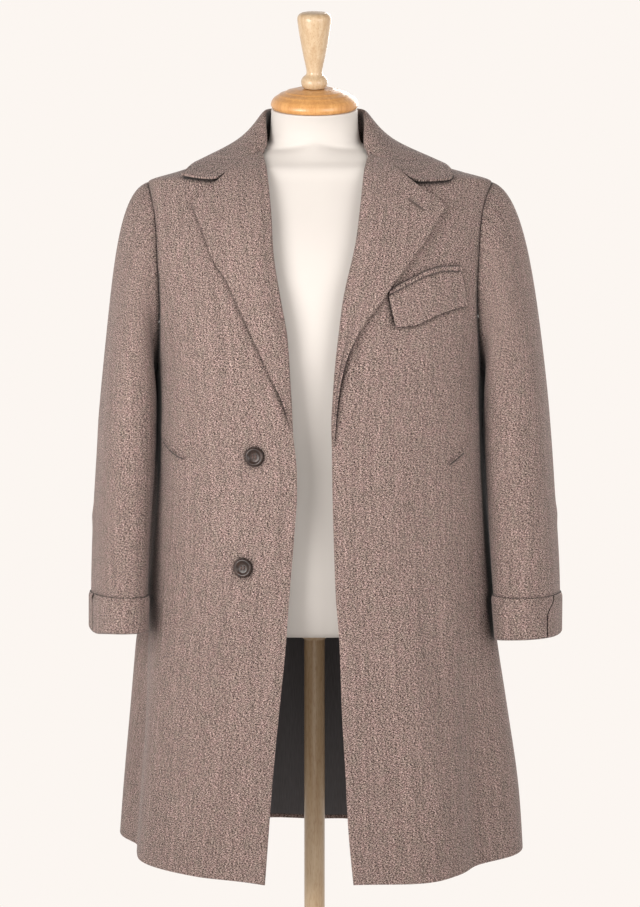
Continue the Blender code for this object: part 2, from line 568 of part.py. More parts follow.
def front_profile(side):
    """The collar's first station: along the gorge and then its own front end, both lying on the front."""
    half = FOLDED_CLOTH / 2
    profile = collar_profile(side, 0.0)
    lead = len(profile) - COLLAR_FALL_POINTS
    gorge, notch, tip = GORGE[side], NOTCH[side], COLLAR_TIPS[side]
    for k in range(1, COLLAR_FALL_POINTS + 1):
        s = k / COLLAR_FALL_POINTS
        if s <= COLLAR_NOTCH_SHARE:
            share = s / COLLAR_NOTCH_SHARE
            x, z = gorge.x + (notch.x - gorge.x) * share, gorge.z + (notch.z - gorge.z) * share
        else:
            share = (s - COLLAR_NOTCH_SHARE) / (1 - COLLAR_NOTCH_SHARE)
            x, z = notch.x + (tip.x - notch.x) * share, notch.z + (tip.z - notch.z) * share
        bulge = COLLAR_FRONT_BULGE * math.sin(math.pi * min(1, s * 1.2)) ** 2
        lift = half + COLLAR_CLEAR + COLLAR_SHOULDER_LIFT / 3 + bulge
        profile[lead + k - 1] = off_front(side, x, z + GORGE_GAP, lift)
    return profile


def add_collar(collection):
    stations = []
    for side in (RIGHT, LEFT):
        half = [collar_profile(side, k / COLLAR_STATIONS) for k in range(COLLAR_STATIONS + 1)]
        half[0] = front_profile(side)
        for k, share in enumerate(COLLAR_EASE, 1):
            step = half[k][-1] - half[0][-1]
            half[k] = [point.lerp(front + step, share) for point, front in zip(half[k], half[0])]
        stations.append(half)
    rings = stations[0] + stations[1][::-1][1:]
    for point in rings[COLLAR_STATIONS]:
        point.x = 0.0
    last, count = len(rings) - 1, len(rings[0]) - 1

    def normal(i, j):
        before, after = rings[max(i - 1, 0)][j], rings[min(i + 1, last)][j]
        below, above = rings[i][max(j - 1, 0)], rings[i][min(j + 1, count)]
        return (after - before).cross(above - below).normalized()

    def at(u, v, lift):
        i, j = round(u * last), round(v * count)
        return rings[i][j] + normal(i, j) * lift

    add_cloth("collar", lambda u, v: at(u, v, FOLDED_CLOTH / 2), lambda u, v: at(u, v, -FOLDED_CLOTH / 2),
              last, count, "coating", collection)


# ---- sleeves and cuffs ---------------------------------------------------------------


def sleeve_ring_point(side, turn, z, grow=0.0):
    """A point of the hanging sleeve: turn 0 is its outer side, a quarter turn its front."""
    rows = SLEEVE_RINGS[side][::-1]
    ring = {name: along(rows, "z", z, name) for name in Ring._fields if name != "z"}
    thick, deep = ring["thick"] + grow, ring["deep"] + grow
    out, fore = math.cos(turn), math.sin(turn)
    r = (abs(out / thick) ** SLEEVE_SQUARE + abs(fore / deep) ** SLEEVE_SQUARE) ** (-1 / SLEEVE_SQUARE)
    twist = math.radians(ring["turn"])
    x = r * out * math.cos(twist) - r * fore * math.sin(twist)
    y = -r * fore * math.cos(twist) - r * out * math.sin(twist)
    return Vector((side * (ring["x"] + x), ring["y"] + y, z))


def armhole_point(side, turn):
    """A point of the armhole seam: turn 0 is the shoulder point, a quarter turn the front."""
    z = ARMHOLE_MIDDLE + ARMHOLE_HALF_HEIGHT * math.cos(turn)
    angle = math.pi / 2 - math.copysign(armhole_angle(z), math.sin(turn))
    return body_point(side, angle, z) + Vector((side * (SEAM_GAP + 0.0001), 0, 0))


def sleeve_point(side, turn, t):
    """t runs from 0 at the armhole through 1, where the sleeve hangs free, to 2 at its end."""
    rings = SLEEVE_RINGS[side]
    if t >= 1:
        z = rings[0].z + (rings[-1].z - rings[0].z) * (t - 1)
        return sleeve_ring_point(side, turn, z)
    start, end = armhole_point(side, turn), sleeve_ring_point(side, turn, rings[0].z)
    top = (1 + math.cos(turn)) / 2
    fore = -math.sin(turn)
    fuller = SLEEVE_HEAD_OUT * top
    leave = start + Vector((side * (SLEEVE_UNDER_OUT + fuller), 0.010 * fore, -0.010 - 0.004 * top))
    arrive = end + Vector((-side * SLEEVE_LEAN_IN * top, 0.004 * fore, SLEEVE_HANG * (start.z - end.z)))
    return curve(start, leave, arrive, end, t)


def sleeve_steps(side):
    heights = [ring.z for ring in SLEEVE_RINGS[side]]
    return SLEEVE_CAP_STEPS + [1 + (heights[0] - z) / (heights[0] - heights[-1]) for z in heights]


def sleeve_wall(side, turn, t, lift):
    inside = min(max(t, 0.004), 1.996)
    outward = sleeve_point(side, turn, inside) - sleeve_point(side, turn + math.pi, inside)
    normal = surface_normal(lambda a, s: sleeve_point(side, a, s), turn, inside, 0.02, 0.004, outward)
    return sleeve_point(side, turn, t) + normal * lift


def add_sleeve_part(side, name, first, last, collection):
    """A sleeve piece between two lengthwise seams, given in armhole segments from the shoulder point."""
    steps = sleeve_steps(side)
    seam = SEAM_GAP / 2 / 0.05

    def at(u, v, lift):
        k = first + round(u * (last - first))
        turn = 2 * math.pi * k / ARMHOLE_SEGMENTS
        turn += seam if k == first else -seam if k == last else 0.0
        return sleeve_wall(side, turn, spread(steps, v), lift)

    add_cloth(name, lambda u, v: at(u, v, 0), lambda u, v: at(u, v, -CLOTH),
              last - first, len(steps) - 1, "coating", collection)


def add_cuff(side, name, collection):
    """The turned-back cuff: a ring round the sleeve's end, slit where its two ends meet."""
    start = math.radians(CUFF_SLIT[side] + CUFF_SLIT_HALF)
    sweep = 2 * math.pi - 2 * math.radians(CUFF_SLIT_HALF)

    def at(u, v, lift):
        turn = start + sweep * u
        z = CUFF_BOTTOM[side] + (CUFF_TOP - CUFF_BOTTOM[side]) * v
        point = sleeve_ring_point(side, turn, z, SEAM_GAP + CUFF_PROUD + lift)
        point.z += CUFF_RISE[side] * math.cos(turn) * (1 - v)
        return point

    add_cloth(name, lambda u, v: at(u, v, CLOTH), lambda u, v: at(u, v, 0),
              CUFF_COLUMNS, CUFF_ROWS, "coating", collection)


# ---- pockets and buttons -------------------------------------------------------------


def add_chest_pocket(collection):
    first, last = CHEST_FLAP[0].x, CHEST_FLAP[-1].x

    def flap(u, v, lift):
        x = first + (last - first) * u
        top, bottom = along(CHEST_FLAP, "x", x, "top"), along(CHEST_FLAP, "x", x, "bottom")
        lean = FLAP_LEAN * (0.5 - v)
        loose = FLAP_LOOSE * (1 - v)
        return off_front(LEFT, x + lean, bottom + (top - bottom) * v, SEAM_GAP + loose + lift)

    def jet(u, v, lift):
        x = first + (last - first) * u
        top = along(CHEST_FLAP, "x", x, "top") + SEAM_GAP * 2
        return off_front(LEFT, x - FLAP_LEAN / 2, top + CHEST_JET_HEIGHT * v, SEAM_GAP + lift)

    add_cloth("chest_pocket_flap", lambda u, v: flap(u, v, CLOTH), lambda u, v: flap(u, v, 0),
              POCKET_COLUMNS, 3, "coating", collection)
    add_cloth("chest_pocket_jet", lambda u, v: jet(u, v, JET_CLOTH), lambda u, v: jet(u, v, 0),
              POCKET_COLUMNS, 1, "coating", collection)


def add_side_pocket(side, name, collection):
    low, high = SIDE_POCKETS[side]
    across = Vector((high.z - low.z, low.x - high.x)).normalized() * SIDE_POCKET_WIDTH / 2

    def at(u, v, lift):
        x = low.x + (high.x - low.x) * u + across.x * (2 * v - 1)
        z = low.z + (high.z - low.z) * u + across.y * (2 * v - 1)
        return off_front(side, x, z, SEAM_GAP * 2 + lift)

    add_cloth(name, lambda u, v: at(u, v, JET_CLOTH), lambda u, v: at(u, v, 0),
              POCKET_COLUMNS, 1, "coating", collection)


def add_button(name, collection, cutters):
    spot = BUTTONS[name]
    seat = off_front(RIGHT, spot.x, spot.z, BUTTON_CLEAR)
    facing = body_normal(RIGHT, angle_at(RIGHT, spot.x, spot.z), spot.z)
    place = Matrix.Translation(seat) @ facing.to_track_quat("Z", "Y").to_matrix().to_4x4()
    button = add_turned(name, BUTTON_PROFILE, 24, "horn", collection, place)
    for k in range(4):
        turn = math.pi / 4 + k * math.pi / 2
        offset = Vector((math.cos(turn), math.sin(turn), 0)) * BUTTON_HOLE_PITCH / 2**0.5
        bm = bmesh.new()
        bmesh.ops.create_cone(bm, cap_ends=True, segments=6, radius1=BUTTON_HOLE, radius2=BUTTON_HOLE,
                              depth=3 * BUTTON_THICKNESS)
        mesh = bpy.data.meshes.new(f"{name}_hole_{k}")
        bm.to_mesh(mesh)
        bm.free()
        cutter = bpy.data.objects.new(mesh.name, mesh)
        cutters.objects.link(cutter)
        cutter.matrix_world = place @ Matrix.Translation(offset)
        cutter.hide_render = True
        cutter.display_type = "WIRE"
        cut = button.modifiers.new(f"hole {k}", "BOOLEAN")
        cut.operation = "DIFFERENCE"
        cut.object = cutter


# ---- dress form ----------------------------------------------------------------------


def form_rings():
    """The form's rings from the bottom up, each a function of the side and the angle round from the front."""

    def level_ring(row, square, tilt=0.0):
        def point(side, angle):
            r = radius(angle, row.side, row.front, row.back, square, square)
            x, y = side * r * math.sin(angle), -r * math.cos(angle)
            return Vector((x, y, row.z + y * tilt))

        return point

    def shoulder_ring(z):
        def point(side, angle):
            clear = FORM_CLEAR + FORM_EASE * abs(math.cos(angle))
            return off_body(side, angle, z, -(CLOTH + clear))

        return point

    rings = [level_ring(row, 2.25) for row in FORM_LEVELS]
    rings += [shoulder_ring(z) for z in FORM_SHOULDER_ROWS]
    rings += [level_ring(row, 2.0, row.tilt) for row in NECK_LEVELS]
    return rings


def add_form(collection):
    rings = form_rings()

    def point(u, v):
        turn = 2 * math.pi * (u % 1.0)
        side, angle = (LEFT, turn) if turn <= math.pi else (RIGHT, 2 * math.pi - turn)
        return rings[round(v * (len(rings) - 1))](side, angle)

    add_loft("form_torso", point, FORM_SEGMENTS, len(rings) - 1, "form cover", collection)

    top = NECK_LEVELS[-1]
    middle_y = (top.back - top.front) / 2
    cap_place = Matrix.Translation((0, middle_y, top.z + SEAM_GAP)) @ Matrix.Rotation(CAP_TILT, 4, "X")
    add_turned("form_neck_cap", CAP_PROFILE, 28, "beech", collection, cap_place)
    on_cap = cap_place @ Matrix.Translation((0, 0, CAP_HEIGHT + SEAM_GAP))
    add_turned("form_finial", FINIAL_PROFILE, 24, "beech", collection, on_cap)
    add_turned("form_pole", POLE_PROFILE, 24, "beech", collection, Matrix.Identity(4))
    add_turned("form_base", BASE_PROFILE, 36, "beech", collection, Matrix.Identity(4))


# ---- the whole -----------------------------------------------------------------------


def main():
    for obj in list(bpy.data.objects):
        bpy.data.objects.remove(obj)
    scene = bpy.context.scene
    coat = bpy.data.collections.new("wool overcoat on dress form")
    cutters = bpy.data.collections.new("cutters")
    scene.collection.children.link(coat)
    scene.collection.children.link(cutters)
    add_form(coat)
    for side, word in ((RIGHT, "right"), (LEFT, "left")):
        add_front(side, f"front_{word}", coat)
        add_back(side, f"back_{word}", coat)
        add_lapel(side, f"lapel_{word}", coat)
        add_sleeve_part(side, f"sleeve_{word}_top", SLEEVE_BACK_SEAM, SLEEVE_FRONT_SEAM, coat)
        round_again = SLEEVE_BACK_SEAM + ARMHOLE_SEGMENTS
        add_sleeve_part(side, f"sleeve_{word}_under", SLEEVE_FRONT_SEAM, round_again, coat)
        add_cuff(side, f"cuff_{word}", coat)
        add_side_pocket(side, f"side_pocket_{word}", coat)
    add_collar(coat)
    add_lining(coat)
    add_chest_pocket(coat)
    for name in BUTTONS:
        add_button(name, coat, cutters)


main()
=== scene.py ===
import math
from functools import partial

import bpy
import numpy as np
from mathutils import Matrix, Vector


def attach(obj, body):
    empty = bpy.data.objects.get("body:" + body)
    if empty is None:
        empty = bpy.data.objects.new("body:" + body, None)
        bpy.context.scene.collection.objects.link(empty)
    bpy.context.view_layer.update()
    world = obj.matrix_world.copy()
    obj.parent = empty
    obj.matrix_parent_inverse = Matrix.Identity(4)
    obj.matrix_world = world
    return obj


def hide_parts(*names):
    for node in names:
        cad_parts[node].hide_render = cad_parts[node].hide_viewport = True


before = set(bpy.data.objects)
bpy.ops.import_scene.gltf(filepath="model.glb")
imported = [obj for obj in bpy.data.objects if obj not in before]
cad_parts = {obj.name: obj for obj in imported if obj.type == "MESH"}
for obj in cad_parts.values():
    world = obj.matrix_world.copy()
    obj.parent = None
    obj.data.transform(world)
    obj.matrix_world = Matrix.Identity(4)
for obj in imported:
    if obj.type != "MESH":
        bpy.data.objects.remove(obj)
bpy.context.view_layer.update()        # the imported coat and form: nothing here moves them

right, left = -1, 1      # the wearer's sides
sideWord = {right: "Right", left: "Left"}
print("frame loaded:", len(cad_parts), "nodes")


# small tools

def clearSelection():
    if bpy.context.mode != "OBJECT":
        bpy.ops.object.mode_set(mode="OBJECT")
    bpy.ops.object.select_all(action="DESELECT")


def pick(piece):
    clearSelection()
    bpy.context.view_layer.objects.active = piece
    piece.select_set(True)


def applyModifier(piece, kind, **settings):
    pick(piece)
    modifier = piece.modifiers.new(kind.lower(), kind)
    for key, value in settings.items():
        setattr(modifier, key, value)
    bpy.ops.object.modifier_apply(modifier=modifier.name)


def roundEdges(piece, width, segments):
    applyModifier(piece, "BEVEL", width=width, segments=segments, limit_method="ANGLE", angle_limit=math.radians(50))


def chamfer(piece, width, segments):
    # rounded edges between faces that stay flat
    roundEdges(piece, width, segments)
    pick(piece)
    bpy.ops.object.shade_smooth_by_angle(angle=math.radians(40))


def smoothStep(t):
    t = np.clip(t, 0, 1)
    return t * t * (3 - 2 * t)


def curveThrough(xs, ys, x):
    # a curve through the rows of a table that never overshoots them; a row may be a whole ring of points
    xs, ys = np.asarray(xs, float), np.asarray(ys, float)
    more = (None,) * (ys.ndim - 1)
    x = np.clip(x, xs[0], xs[-1])
    steps = np.diff(xs)[(..., *more)]
    slopes = np.diff(ys, axis=0) / steps
    tangents = np.zeros_like(ys)
    tangents[0], tangents[-1] = slopes[0], slopes[-1]
    before, after = 2 * steps[1:] + steps[:-1], steps[1:] + 2 * steps[:-1]
    with np.errstate(divide="ignore", invalid="ignore"):
        mean = (before + after) / (before / slopes[:-1] + after / slopes[1:])
    tangents[1:-1] = np.where(slopes[:-1] * slopes[1:] > 0, mean, 0)
    i = np.clip(np.searchsorted(xs, x, side="right") - 1, 0, len(xs) - 2)
    step = steps[i]
    t = (x - xs[i])[(..., *more)] / step
    return (ys[i] * (1 + 2 * t) * (1 - t) ** 2 + tangents[i] * step * t * (1 - t) ** 2
            + ys[i + 1] * t * t * (3 - 2 * t) + tangents[i + 1] * step * t * t * (t - 1))


def lookUp(table, x):
    # the table's other columns where its first one is x
    found = [curveThrough(table[:, 0], column, x) for column in table.T[1:]]
    return found[0] if len(found) == 1 else found


def bezier(start, leave, arrive, end, t):
    return start * (1 - t) ** 3 + leave * 3 * t * (1 - t) ** 2 + arrive * 3 * t * t * (1 - t) + end * t**3


def unit(vectors):
    return vectors / np.linalg.norm(vectors, axis=-1, keepdims=True)


def squared(angle, half, front, back, squareFront, squareBack):
    # distance from the middle to a squared ellipse; angle 0 is the front, pi the back
    isFront = angle < math.pi / 2
    deep, square = np.where(isFront, front, back), np.where(isFront, squareFront, squareBack)
    across, fore = np.abs(np.sin(angle)) / half, np.abs(np.cos(angle)) / deep
    return (across**square + fore**square) ** (-1 / square)


# the coat's body: one surface that every panel is laid on

cloth = {"wall": 0.0028, "folded": 0.0040, "liningWall": 0.0010, "seamGap": 0.0003}

body = {
    "underarm": 1.175, "shoulder": 1.4416, "neck": 1.492, "hem": 0.470, "hemFade": 0.15,
    "columns": ("halfRight", "halfLeft", "front", "back", "squareRight", "squareLeft", "squareBack"),
    # height, and then what the columns say
    "levels": np.array([
        (0.440, 0.2670, 0.3030, 0.1720, 0.1900, 1.95, 2.90, 2.6),
        (0.560, 0.2580, 0.2950, 0.1680, 0.1840, 2.00, 2.80, 2.5),
        (0.680, 0.2480, 0.2790, 0.1630, 0.1740, 2.05, 2.65, 2.4),
        (0.790, 0.2400, 0.2630, 0.1580, 0.1630, 2.10, 2.50, 2.3),
        (0.920, 0.2270, 0.2480, 0.1530, 0.1500, 2.20, 2.40, 2.3),
        (1.050, 0.2190, 0.2370, 0.1500, 0.1420, 2.30, 2.40, 2.3),
        (1.160, 0.2190, 0.2340, 0.1500, 0.1450, 2.40, 2.40, 2.3),
        (1.260, 0.2300, 0.2440, 0.1470, 0.1470, 2.40, 2.40, 2.3),
        (1.340, 0.2390, 0.2520, 0.1360, 0.1420, 2.40, 2.40, 2.3),
        (1.400, 0.2395, 0.2530, 0.1150, 0.1250, 2.30, 2.30, 2.3),
        (1.4416, 0.2370, 0.2530, 0.0900, 0.1020, 2.20, 2.20, 2.2),
        (1.4560, 0.1960, 0.2110, 0.0780, 0.0950, 2.10, 2.10, 2.1),
        (1.4700, 0.1500, 0.1570, 0.0640, 0.0890, 2.00, 2.00, 2.0),
        (1.4920, 0.0850, 0.0880, 0.0420, 0.0800, 2.00, 2.00, 2.0),
    ]),
    # side, angle from the front, half width, how far it stands out, where it begins and where it is full
    "folds": [
        (left, 68, 11, -0.040, 1.02, 0.50), (left, 44, 12, 0.005, 0.90, 0.50),
        (left, 94, 13, 0.004, 0.90, 0.50), (left, 122, 14, 0.014, 0.90, 0.50),
        (left, 150, 13, -0.010, 0.90, 0.50), (right, 90, 9, -0.010, 0.95, 0.60),
        (right, 115, 17, 0.050, 1.00, 0.76), (right, 150, 13, -0.010, 0.90, 0.50),
        (right, 32, 13, -0.004, 0.90, 0.50),
    ],
    # side, angles at the top and at the bottom, half width, height, top and bottom: soft, small and uneven
    "creases": [
        (right, 21, 24, 5, 0.0014, 0.96, 0.40), (right, 43, 50, 6, 0.0020, 0.90, 0.40),
        (right, 60, 66, 5, -0.0016, 1.04, 0.52), (right, 30, 27, 6, -0.0012, 1.27, 0.98),
        (right, 57, 62, 6, -0.0020, 1.40, 1.21), (right, 70, 62, 7, 0.0022, 1.17, 0.93),
        (left, 18, 16, 5, 0.0014, 0.88, 0.40), (left, 36, 40, 6, 0.0022, 0.97, 0.44),
        (left, 52, 54, 6, -0.0062, 1.03, 0.40), (left, 60, 63, 5, -0.0020, 1.41, 1.19),
        (left, 72, 65, 6, 0.0020, 1.16, 0.95), (left, 26, 29, 7, 0.0012, 1.24, 0.99),
        (right, 130, 127, 8, 0.0030, 1.06, 0.40), (right, 166, 161, 7, 0.0034, 0.98, 0.40),
        (right, 140, 146, 9, -0.0024, 1.36, 1.08), (left, 108, 112, 8, 0.0030, 1.02, 0.40),
        (left, 138, 133, 8, 0.0036, 1.08, 0.40), (left, 165, 168, 6, 0.0026, 0.92, 0.40),
        (left, 143, 150, 9, -0.0026, 1.35, 1.10), (left, 122, 116, 7, -0.0022, 1.28, 1.05),
        (right, 101, 101, 7, 0.0210, 1.37, 0.79), (left, 101, 101, 7, 0.0215, 1.40, 0.79),    # full behind the arms
        (right, 87, 87, 9, 0.0050, 1.34, 0.79), (left, 87, 87, 9, 0.0042, 1.36, 0.79),
        (right, 97, 97, 4.5, -0.0120, 1.00, 0.40),
    ],
    # angle, and the hem's rise there on the right and on the left
    "hemRise": np.array([
        (0, -0.0125, -0.0050), (35, -0.0048, -0.0045), (90, 0.0020, 0.0085),
        (120, 0.0140, 0.0080), (180, 0.0070, 0.0070),
    ]),
    "armholeAngle": math.radians(17), "armholeRound": 0.6, "crowding": 0.65, "crowdingStart": 1.33,
    "creaseRise": 0.4, "creaseFade": 0.08,      # a share of the crease's length, and metres
    "turnProbe": 0.004, "heightProbe": 0.0008,  # how far to either side the slope is taken
}
armholeMiddle = (body["shoulder"] + body["underarm"]) / 2
armholeHalf = (body["shoulder"] - body["underarm"]) / 2


def bodyPoint(side, angle, z):
    angle, z = np.broadcast_arrays(np.asarray(angle, float), np.asarray(z, float))
    size, word = dict(zip(body["columns"], lookUp(body["levels"], z))), sideWord[side]
    r = squared(angle, size["half" + word], size["front"], size["back"], size["square" + word], size["squareBack"])
    degrees = np.degrees(angle)
    for foldSide, middle, width, height, top, full in body["folds"]:
        if foldSide == side:
            wave = np.exp(-(((degrees - middle) / width) ** 2))
            r = r + height * wave * smoothStep((top - z) / (top - full))
    for creaseSide, topAngle, lowAngle, width, height, top, bottom in body["creases"]:
        if creaseSide == side:
            down = np.clip((top - z) / (top - bottom), 0, 1)
            wave = np.exp(-(((degrees - topAngle - (lowAngle - topAngle) * down) / width) ** 2))
            fade = smoothStep((z - bottom) / body["creaseFade"])
            r = r + height * wave * smoothStep(down / body["creaseRise"]) * fade
    return np.stack([side * r * np.sin(angle), -r * np.cos(angle), z], axis=-1)


def bodyNormal(side, angle, z):
    angle = np.clip(angle, 0.02, math.pi - 0.0005)
    z = np.minimum(z, body["neck"] - 0.001)
    outward = np.stack(np.broadcast_arrays(side * np.sin(angle), -np.cos(angle), 0.3), axis=-1)
    turn, climb = body["turnProbe"], body["heightProbe"]
    normal = unit(np.cross(bodyPoint(side, angle + turn, z) - bodyPoint(side, angle - turn, z),
                           bodyPoint(side, angle, z + climb) - bodyPoint(side, angle, z - climb)))
    return normal * np.sign(np.sum(normal * outward, axis=-1, keepdims=True))


def offBody(side, angle, z, lift):
    return bodyPoint(side, angle, z) + bodyNormal(side, angle, z) * np.asarray(lift, float)[..., None]


def angleAt(side, x, z):
    # the angle on the front at which the body is x away from the middle
    x, z = np.broadcast_arrays(np.asarray(x, float), np.asarray(z, float))
    low, high = np.zeros(x.shape), np.full(x.shape, math.radians(89.5))
    for _ in range(32):
        middle = (low + high) / 2
        inside = np.abs(bodyPoint(side, middle, z)[..., 0]) < x
        low, high = np.where(inside, middle, low), np.where(inside, high, middle)
    return low


def offFront(side, x, z, lift):
    return offBody(side, angleAt(side, x, z), z, lift)


def onPanel(side, angle, z, lift=0):
    # off the body, with the rows near the hem moved to its uneven edge
    rise = lookUp(body["hemRise"], np.degrees(angle))[1 if side == left else 0]
    return offBody(side, angle, z + rise * (1 - smoothStep((z - body["hem"]) / body["hemFade"])), lift)


def armholeAngle(z):
    off = np.minimum(1, np.abs(z - armholeMiddle) / armholeHalf)
    return body["armholeAngle"] * (1 - off**2) ** body["armholeRound"]


def crowded(share, z):
    start = body["crowdingStart"]
    return share ** (1 + body["crowding"] * smoothStep((z - start) / (body["shoulder"] - start)))


def backAngles(side, z):
    # where the back starts, at the side seam or the armhole, and where it ends, at the centre seam
    half = cloth["seamGap"] / 2
    openArm = np.where((z > body["underarm"]) & (z < body["shoulder"]), armholeAngle(z), 0)
    start = math.pi / 2 + np.maximum(openArm, half / np.abs(bodyPoint(side, math.pi / 2, z)[..., 0]))
    return start, math.pi - half / np.abs(bodyPoint(side, math.pi, z)[..., 1])


skirtRows = [0.470, 0.490, 0.53, 0.58, 0.635, 0.71, 0.785, 0.86, 0.93, 1.00, 1.06, 1.12]
armholeRows = [armholeMiddle - armholeHalf * math.cos(math.pi * k / 10) for k in range(11)]
panelRows = skirtRows + armholeRows + [1.450, 1.460, 1.471, 1.482, body["neck"]]


def rowHeight(rows, v):
    return np.interp(v, np.linspace(0, 1, len(rows)), rows)


# laying cloth

def garmentAxis(points):
    return points * (0, 0, 1)


def layCloth(name, across, up, place, grain=0.0, base=0.0, axis=garmentAxis):
    # a grid laid out by place(u, v), faces outwards, with a UV map in metres of cloth
    # that runs true along the column at grain and the row at base
    clearSelection()
    bpy.ops.mesh.primitive_grid_add(x_subdivisions=across, y_subdivisions=up, size=1)
    piece = bpy.context.object
    piece.name = piece.data.name = name
    flat = np.empty(len(piece.data.vertices) * 3)
    piece.data.vertices.foreach_get("co", flat)
    flat = flat.reshape(-1, 3) + 0.5
    column = np.rint(flat[:, 0] * across).astype(int)
    row = np.rint(flat[:, 1] * up).astype(int)
    grid = np.empty((up + 1, across + 1, 3))
    for turned in (False, True):
        u = 1 - column / across if turned else column / across
        placed = place(u, row / up)
        grid[row, column] = placed
        normals = np.cross(grid[:-1, 1:] - grid[:-1, :-1], grid[1:, :-1] - grid[:-1, :-1])
        if np.sum(normals * (grid - axis(grid))[:-1, :-1]) > 0:
            break
        grain = 1 - grain
    piece.data.vertices.foreach_set("co", placed.ravel())
    runs, rises = np.zeros((up + 1, across + 1)), np.zeros((up + 1, across + 1))
    aside, ahead = np.diff(grid, axis=1), np.diff(grid, axis=0)
    run, rise = np.linalg.norm(aside, axis=2), np.linalg.norm(ahead, axis=2)
    areas = np.linalg.norm(np.cross(aside[:-1], ahead[:, :-1]), axis=2).sum(axis=1)
    spans = np.maximum((run[:-1] * rise[:, :-1]).sum(axis=1), 1e-12)
    runs[:, 1:] = np.cumsum(run, axis=1)
    rises[1:] = np.cumsum(rise * np.maximum(areas / spans, 0.3)[:, None], axis=0)     # slanting rows stand closer
    column0, row0 = round(grain * across), round(base * up)
    runs -= runs[:, column0:column0 + 1]
    rises -= rises[row0:row0 + 1]
    corners = np.empty(len(piece.data.loops), int)
    piece.data.loops.foreach_get("vertex_index", corners)
    metres = np.stack([runs[row, column][corners], rises[row, column][corners]], axis=-1)
    piece.data.uv_layers[0].data.foreach_set("uv", metres.ravel())
    piece.data.update()
    return piece


def layRows(name, grid, **settings):
    # the same, from rows of points
    up, across = grid.shape[0] - 1, grid.shape[1] - 1
    return layCloth(name, across, up, lambda u, v: grid[np.rint(v * up).astype(int), np.rint(u * across).astype(int)],
                    **settings)


def rowShares(across, up):
    # how far up each point of a grid lies
    return np.repeat(np.linspace(0, 1, up + 1), across + 1)


def settle(piece, material, slot=None, node=None):
    # gives a piece its material and hangs it from the root; when a slot is named, the node of the piece's own name, or
    # the one given, is hidden
    piece.data.materials.clear()
    piece.data.materials.append(material)
    if slot:
        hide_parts(node or "".join("_" + mark.lower() if mark.isupper() else mark for mark in piece.name))
    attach(piece, "root")


def finishCloth(piece, wall, offset=-1.0, edge=0.0009, weights=None, fabric="coating", node=None):
    # the cloth's thickness with its raw edges rounded, and its fabric
    settings = {"thickness": wall, "offset": offset}
    if weights is not None:
        group = piece.vertex_groups.new(name="wall")
        for index, weight in enumerate(weights):
            group.add([index], float(weight), "REPLACE")
        settings.update(vertex_group="wall", thickness_vertex_group=0.0)
    applyModifier(piece, "SOLIDIFY", **settings)
    roundEdges(piece, edge, 3)
    pick(piece)
    bpy.ops.object.shade_smooth()
    settle(piece, fabrics[fabric], fabric, node)


# turned pieces, tubes and stitches

def roundCorners(profile, reach):
    # each corner becomes a short curve that starts and ends up to reach away from it
    points = [np.array(point, float) for point in profile]
    rounded = [points[0]]
    for before, corner, after in zip(points, points[1:], points[2:]):
        start, end = (corner + way * min(0.5, reach / max(1e-9, np.linalg.norm(way)))
                      for way in (before - corner, after - corner))
        rounded += [start * (1 - t) ** 2 + corner * 2 * t * (1 - t) + end * t * t for t in (0, 0.25, 0.5, 0.75, 1)]
    return np.array(rounded + [points[-1]])


def closeSurface(piece, fill=None):
    # sews a grid's ends together, fills its open rims and turns its faces outwards
    pick(piece)
    bpy.ops.object.mode_set(mode="EDIT")
    bpy.ops.mesh.select_all(action="SELECT")
    bpy.ops.mesh.remove_doubles(threshold=0.00001)
    if fill:
        bpy.ops.mesh.select_all(action="DESELECT")
        bpy.ops.mesh.select_non_manifold()
        fill()
        bpy.ops.mesh.select_all(action="SELECT")
    bpy.ops.mesh.normals_make_consistent(inside=False)
    bpy.ops.object.mode_set(mode="OBJECT")
    bpy.ops.object.shade_smooth()
    return piece


def turnPiece(name, profile, reach, around, place=Matrix.Identity(4)):
    # a profile of (radius, height) turned round its own upright
    radius, height = roundCorners(profile, reach).T[..., None]
    turn = np.linspace(0, 2 * math.pi, around + 1)
    local = np.stack(np.broadcast_arrays(radius * np.cos(turn), radius * np.sin(turn), height, 1.0), axis=-1)
    return closeSurface(layRows(name, (local @ np.array(place).T)[..., :3]))


def addTube(name, path, radius, around=10, closed=False):
    # a round cord along a path of points
    path = np.array(path, float)
    along = unit(np.roll(path, -1, 0) - np.roll(path, 1, 0) if closed else np.gradient(path, axis=0))
    aside = unit(np.cross(along, (0.31, 0.17, 0.93)))
    turn = np.linspace(0, 2 * math.pi, around + 1)[:, None]
    rings = path[:, None] + (aside[:, None] * np.cos(turn) + np.cross(along, aside)[:, None] * np.sin(turn)) * radius
    if closed:
        return closeSurface(layRows(name, np.concatenate([rings, rings[:1]])))
    return closeSurface(layRows(name, rings), bpy.ops.mesh.edge_face_add)


def restOn(piece, x, z):
    # the spot and the way it faces on the front of a piece
    _, spot, normal, _ = piece.ray_cast(Vector((x, -1, z)), Vector((0, 1, 0)))
    return spot, normal


# materials

def addNode(tree, kind, inputs=None, **settings):
    # an input is a plain value or the output of another node
    node = tree.nodes.new("ShaderNode" + kind)
    for key, value in settings.items():
        setattr(node, key, value)
    for key, value in (inputs or {}).items():
        if isinstance(value, bpy.types.NodeSocket):
            tree.links.new(value, node.inputs[key])
        else:
            node.inputs[key].default_value = value
    return node


def startMaterial(name, colour, roughness, **sockets):
    material = bpy.data.materials.new(name)
    material.use_nodes = True
    shader = material.node_tree.nodes["Principled BSDF"]
    shader.inputs["Base Color"].default_value = (*colour, 1)
    shader.inputs["Roughness"].default_value = roughness
    for key, value in sockets.items():
        shader.inputs[key.replace("_", " ")].default_value = value
    return material, material.node_tree, shader


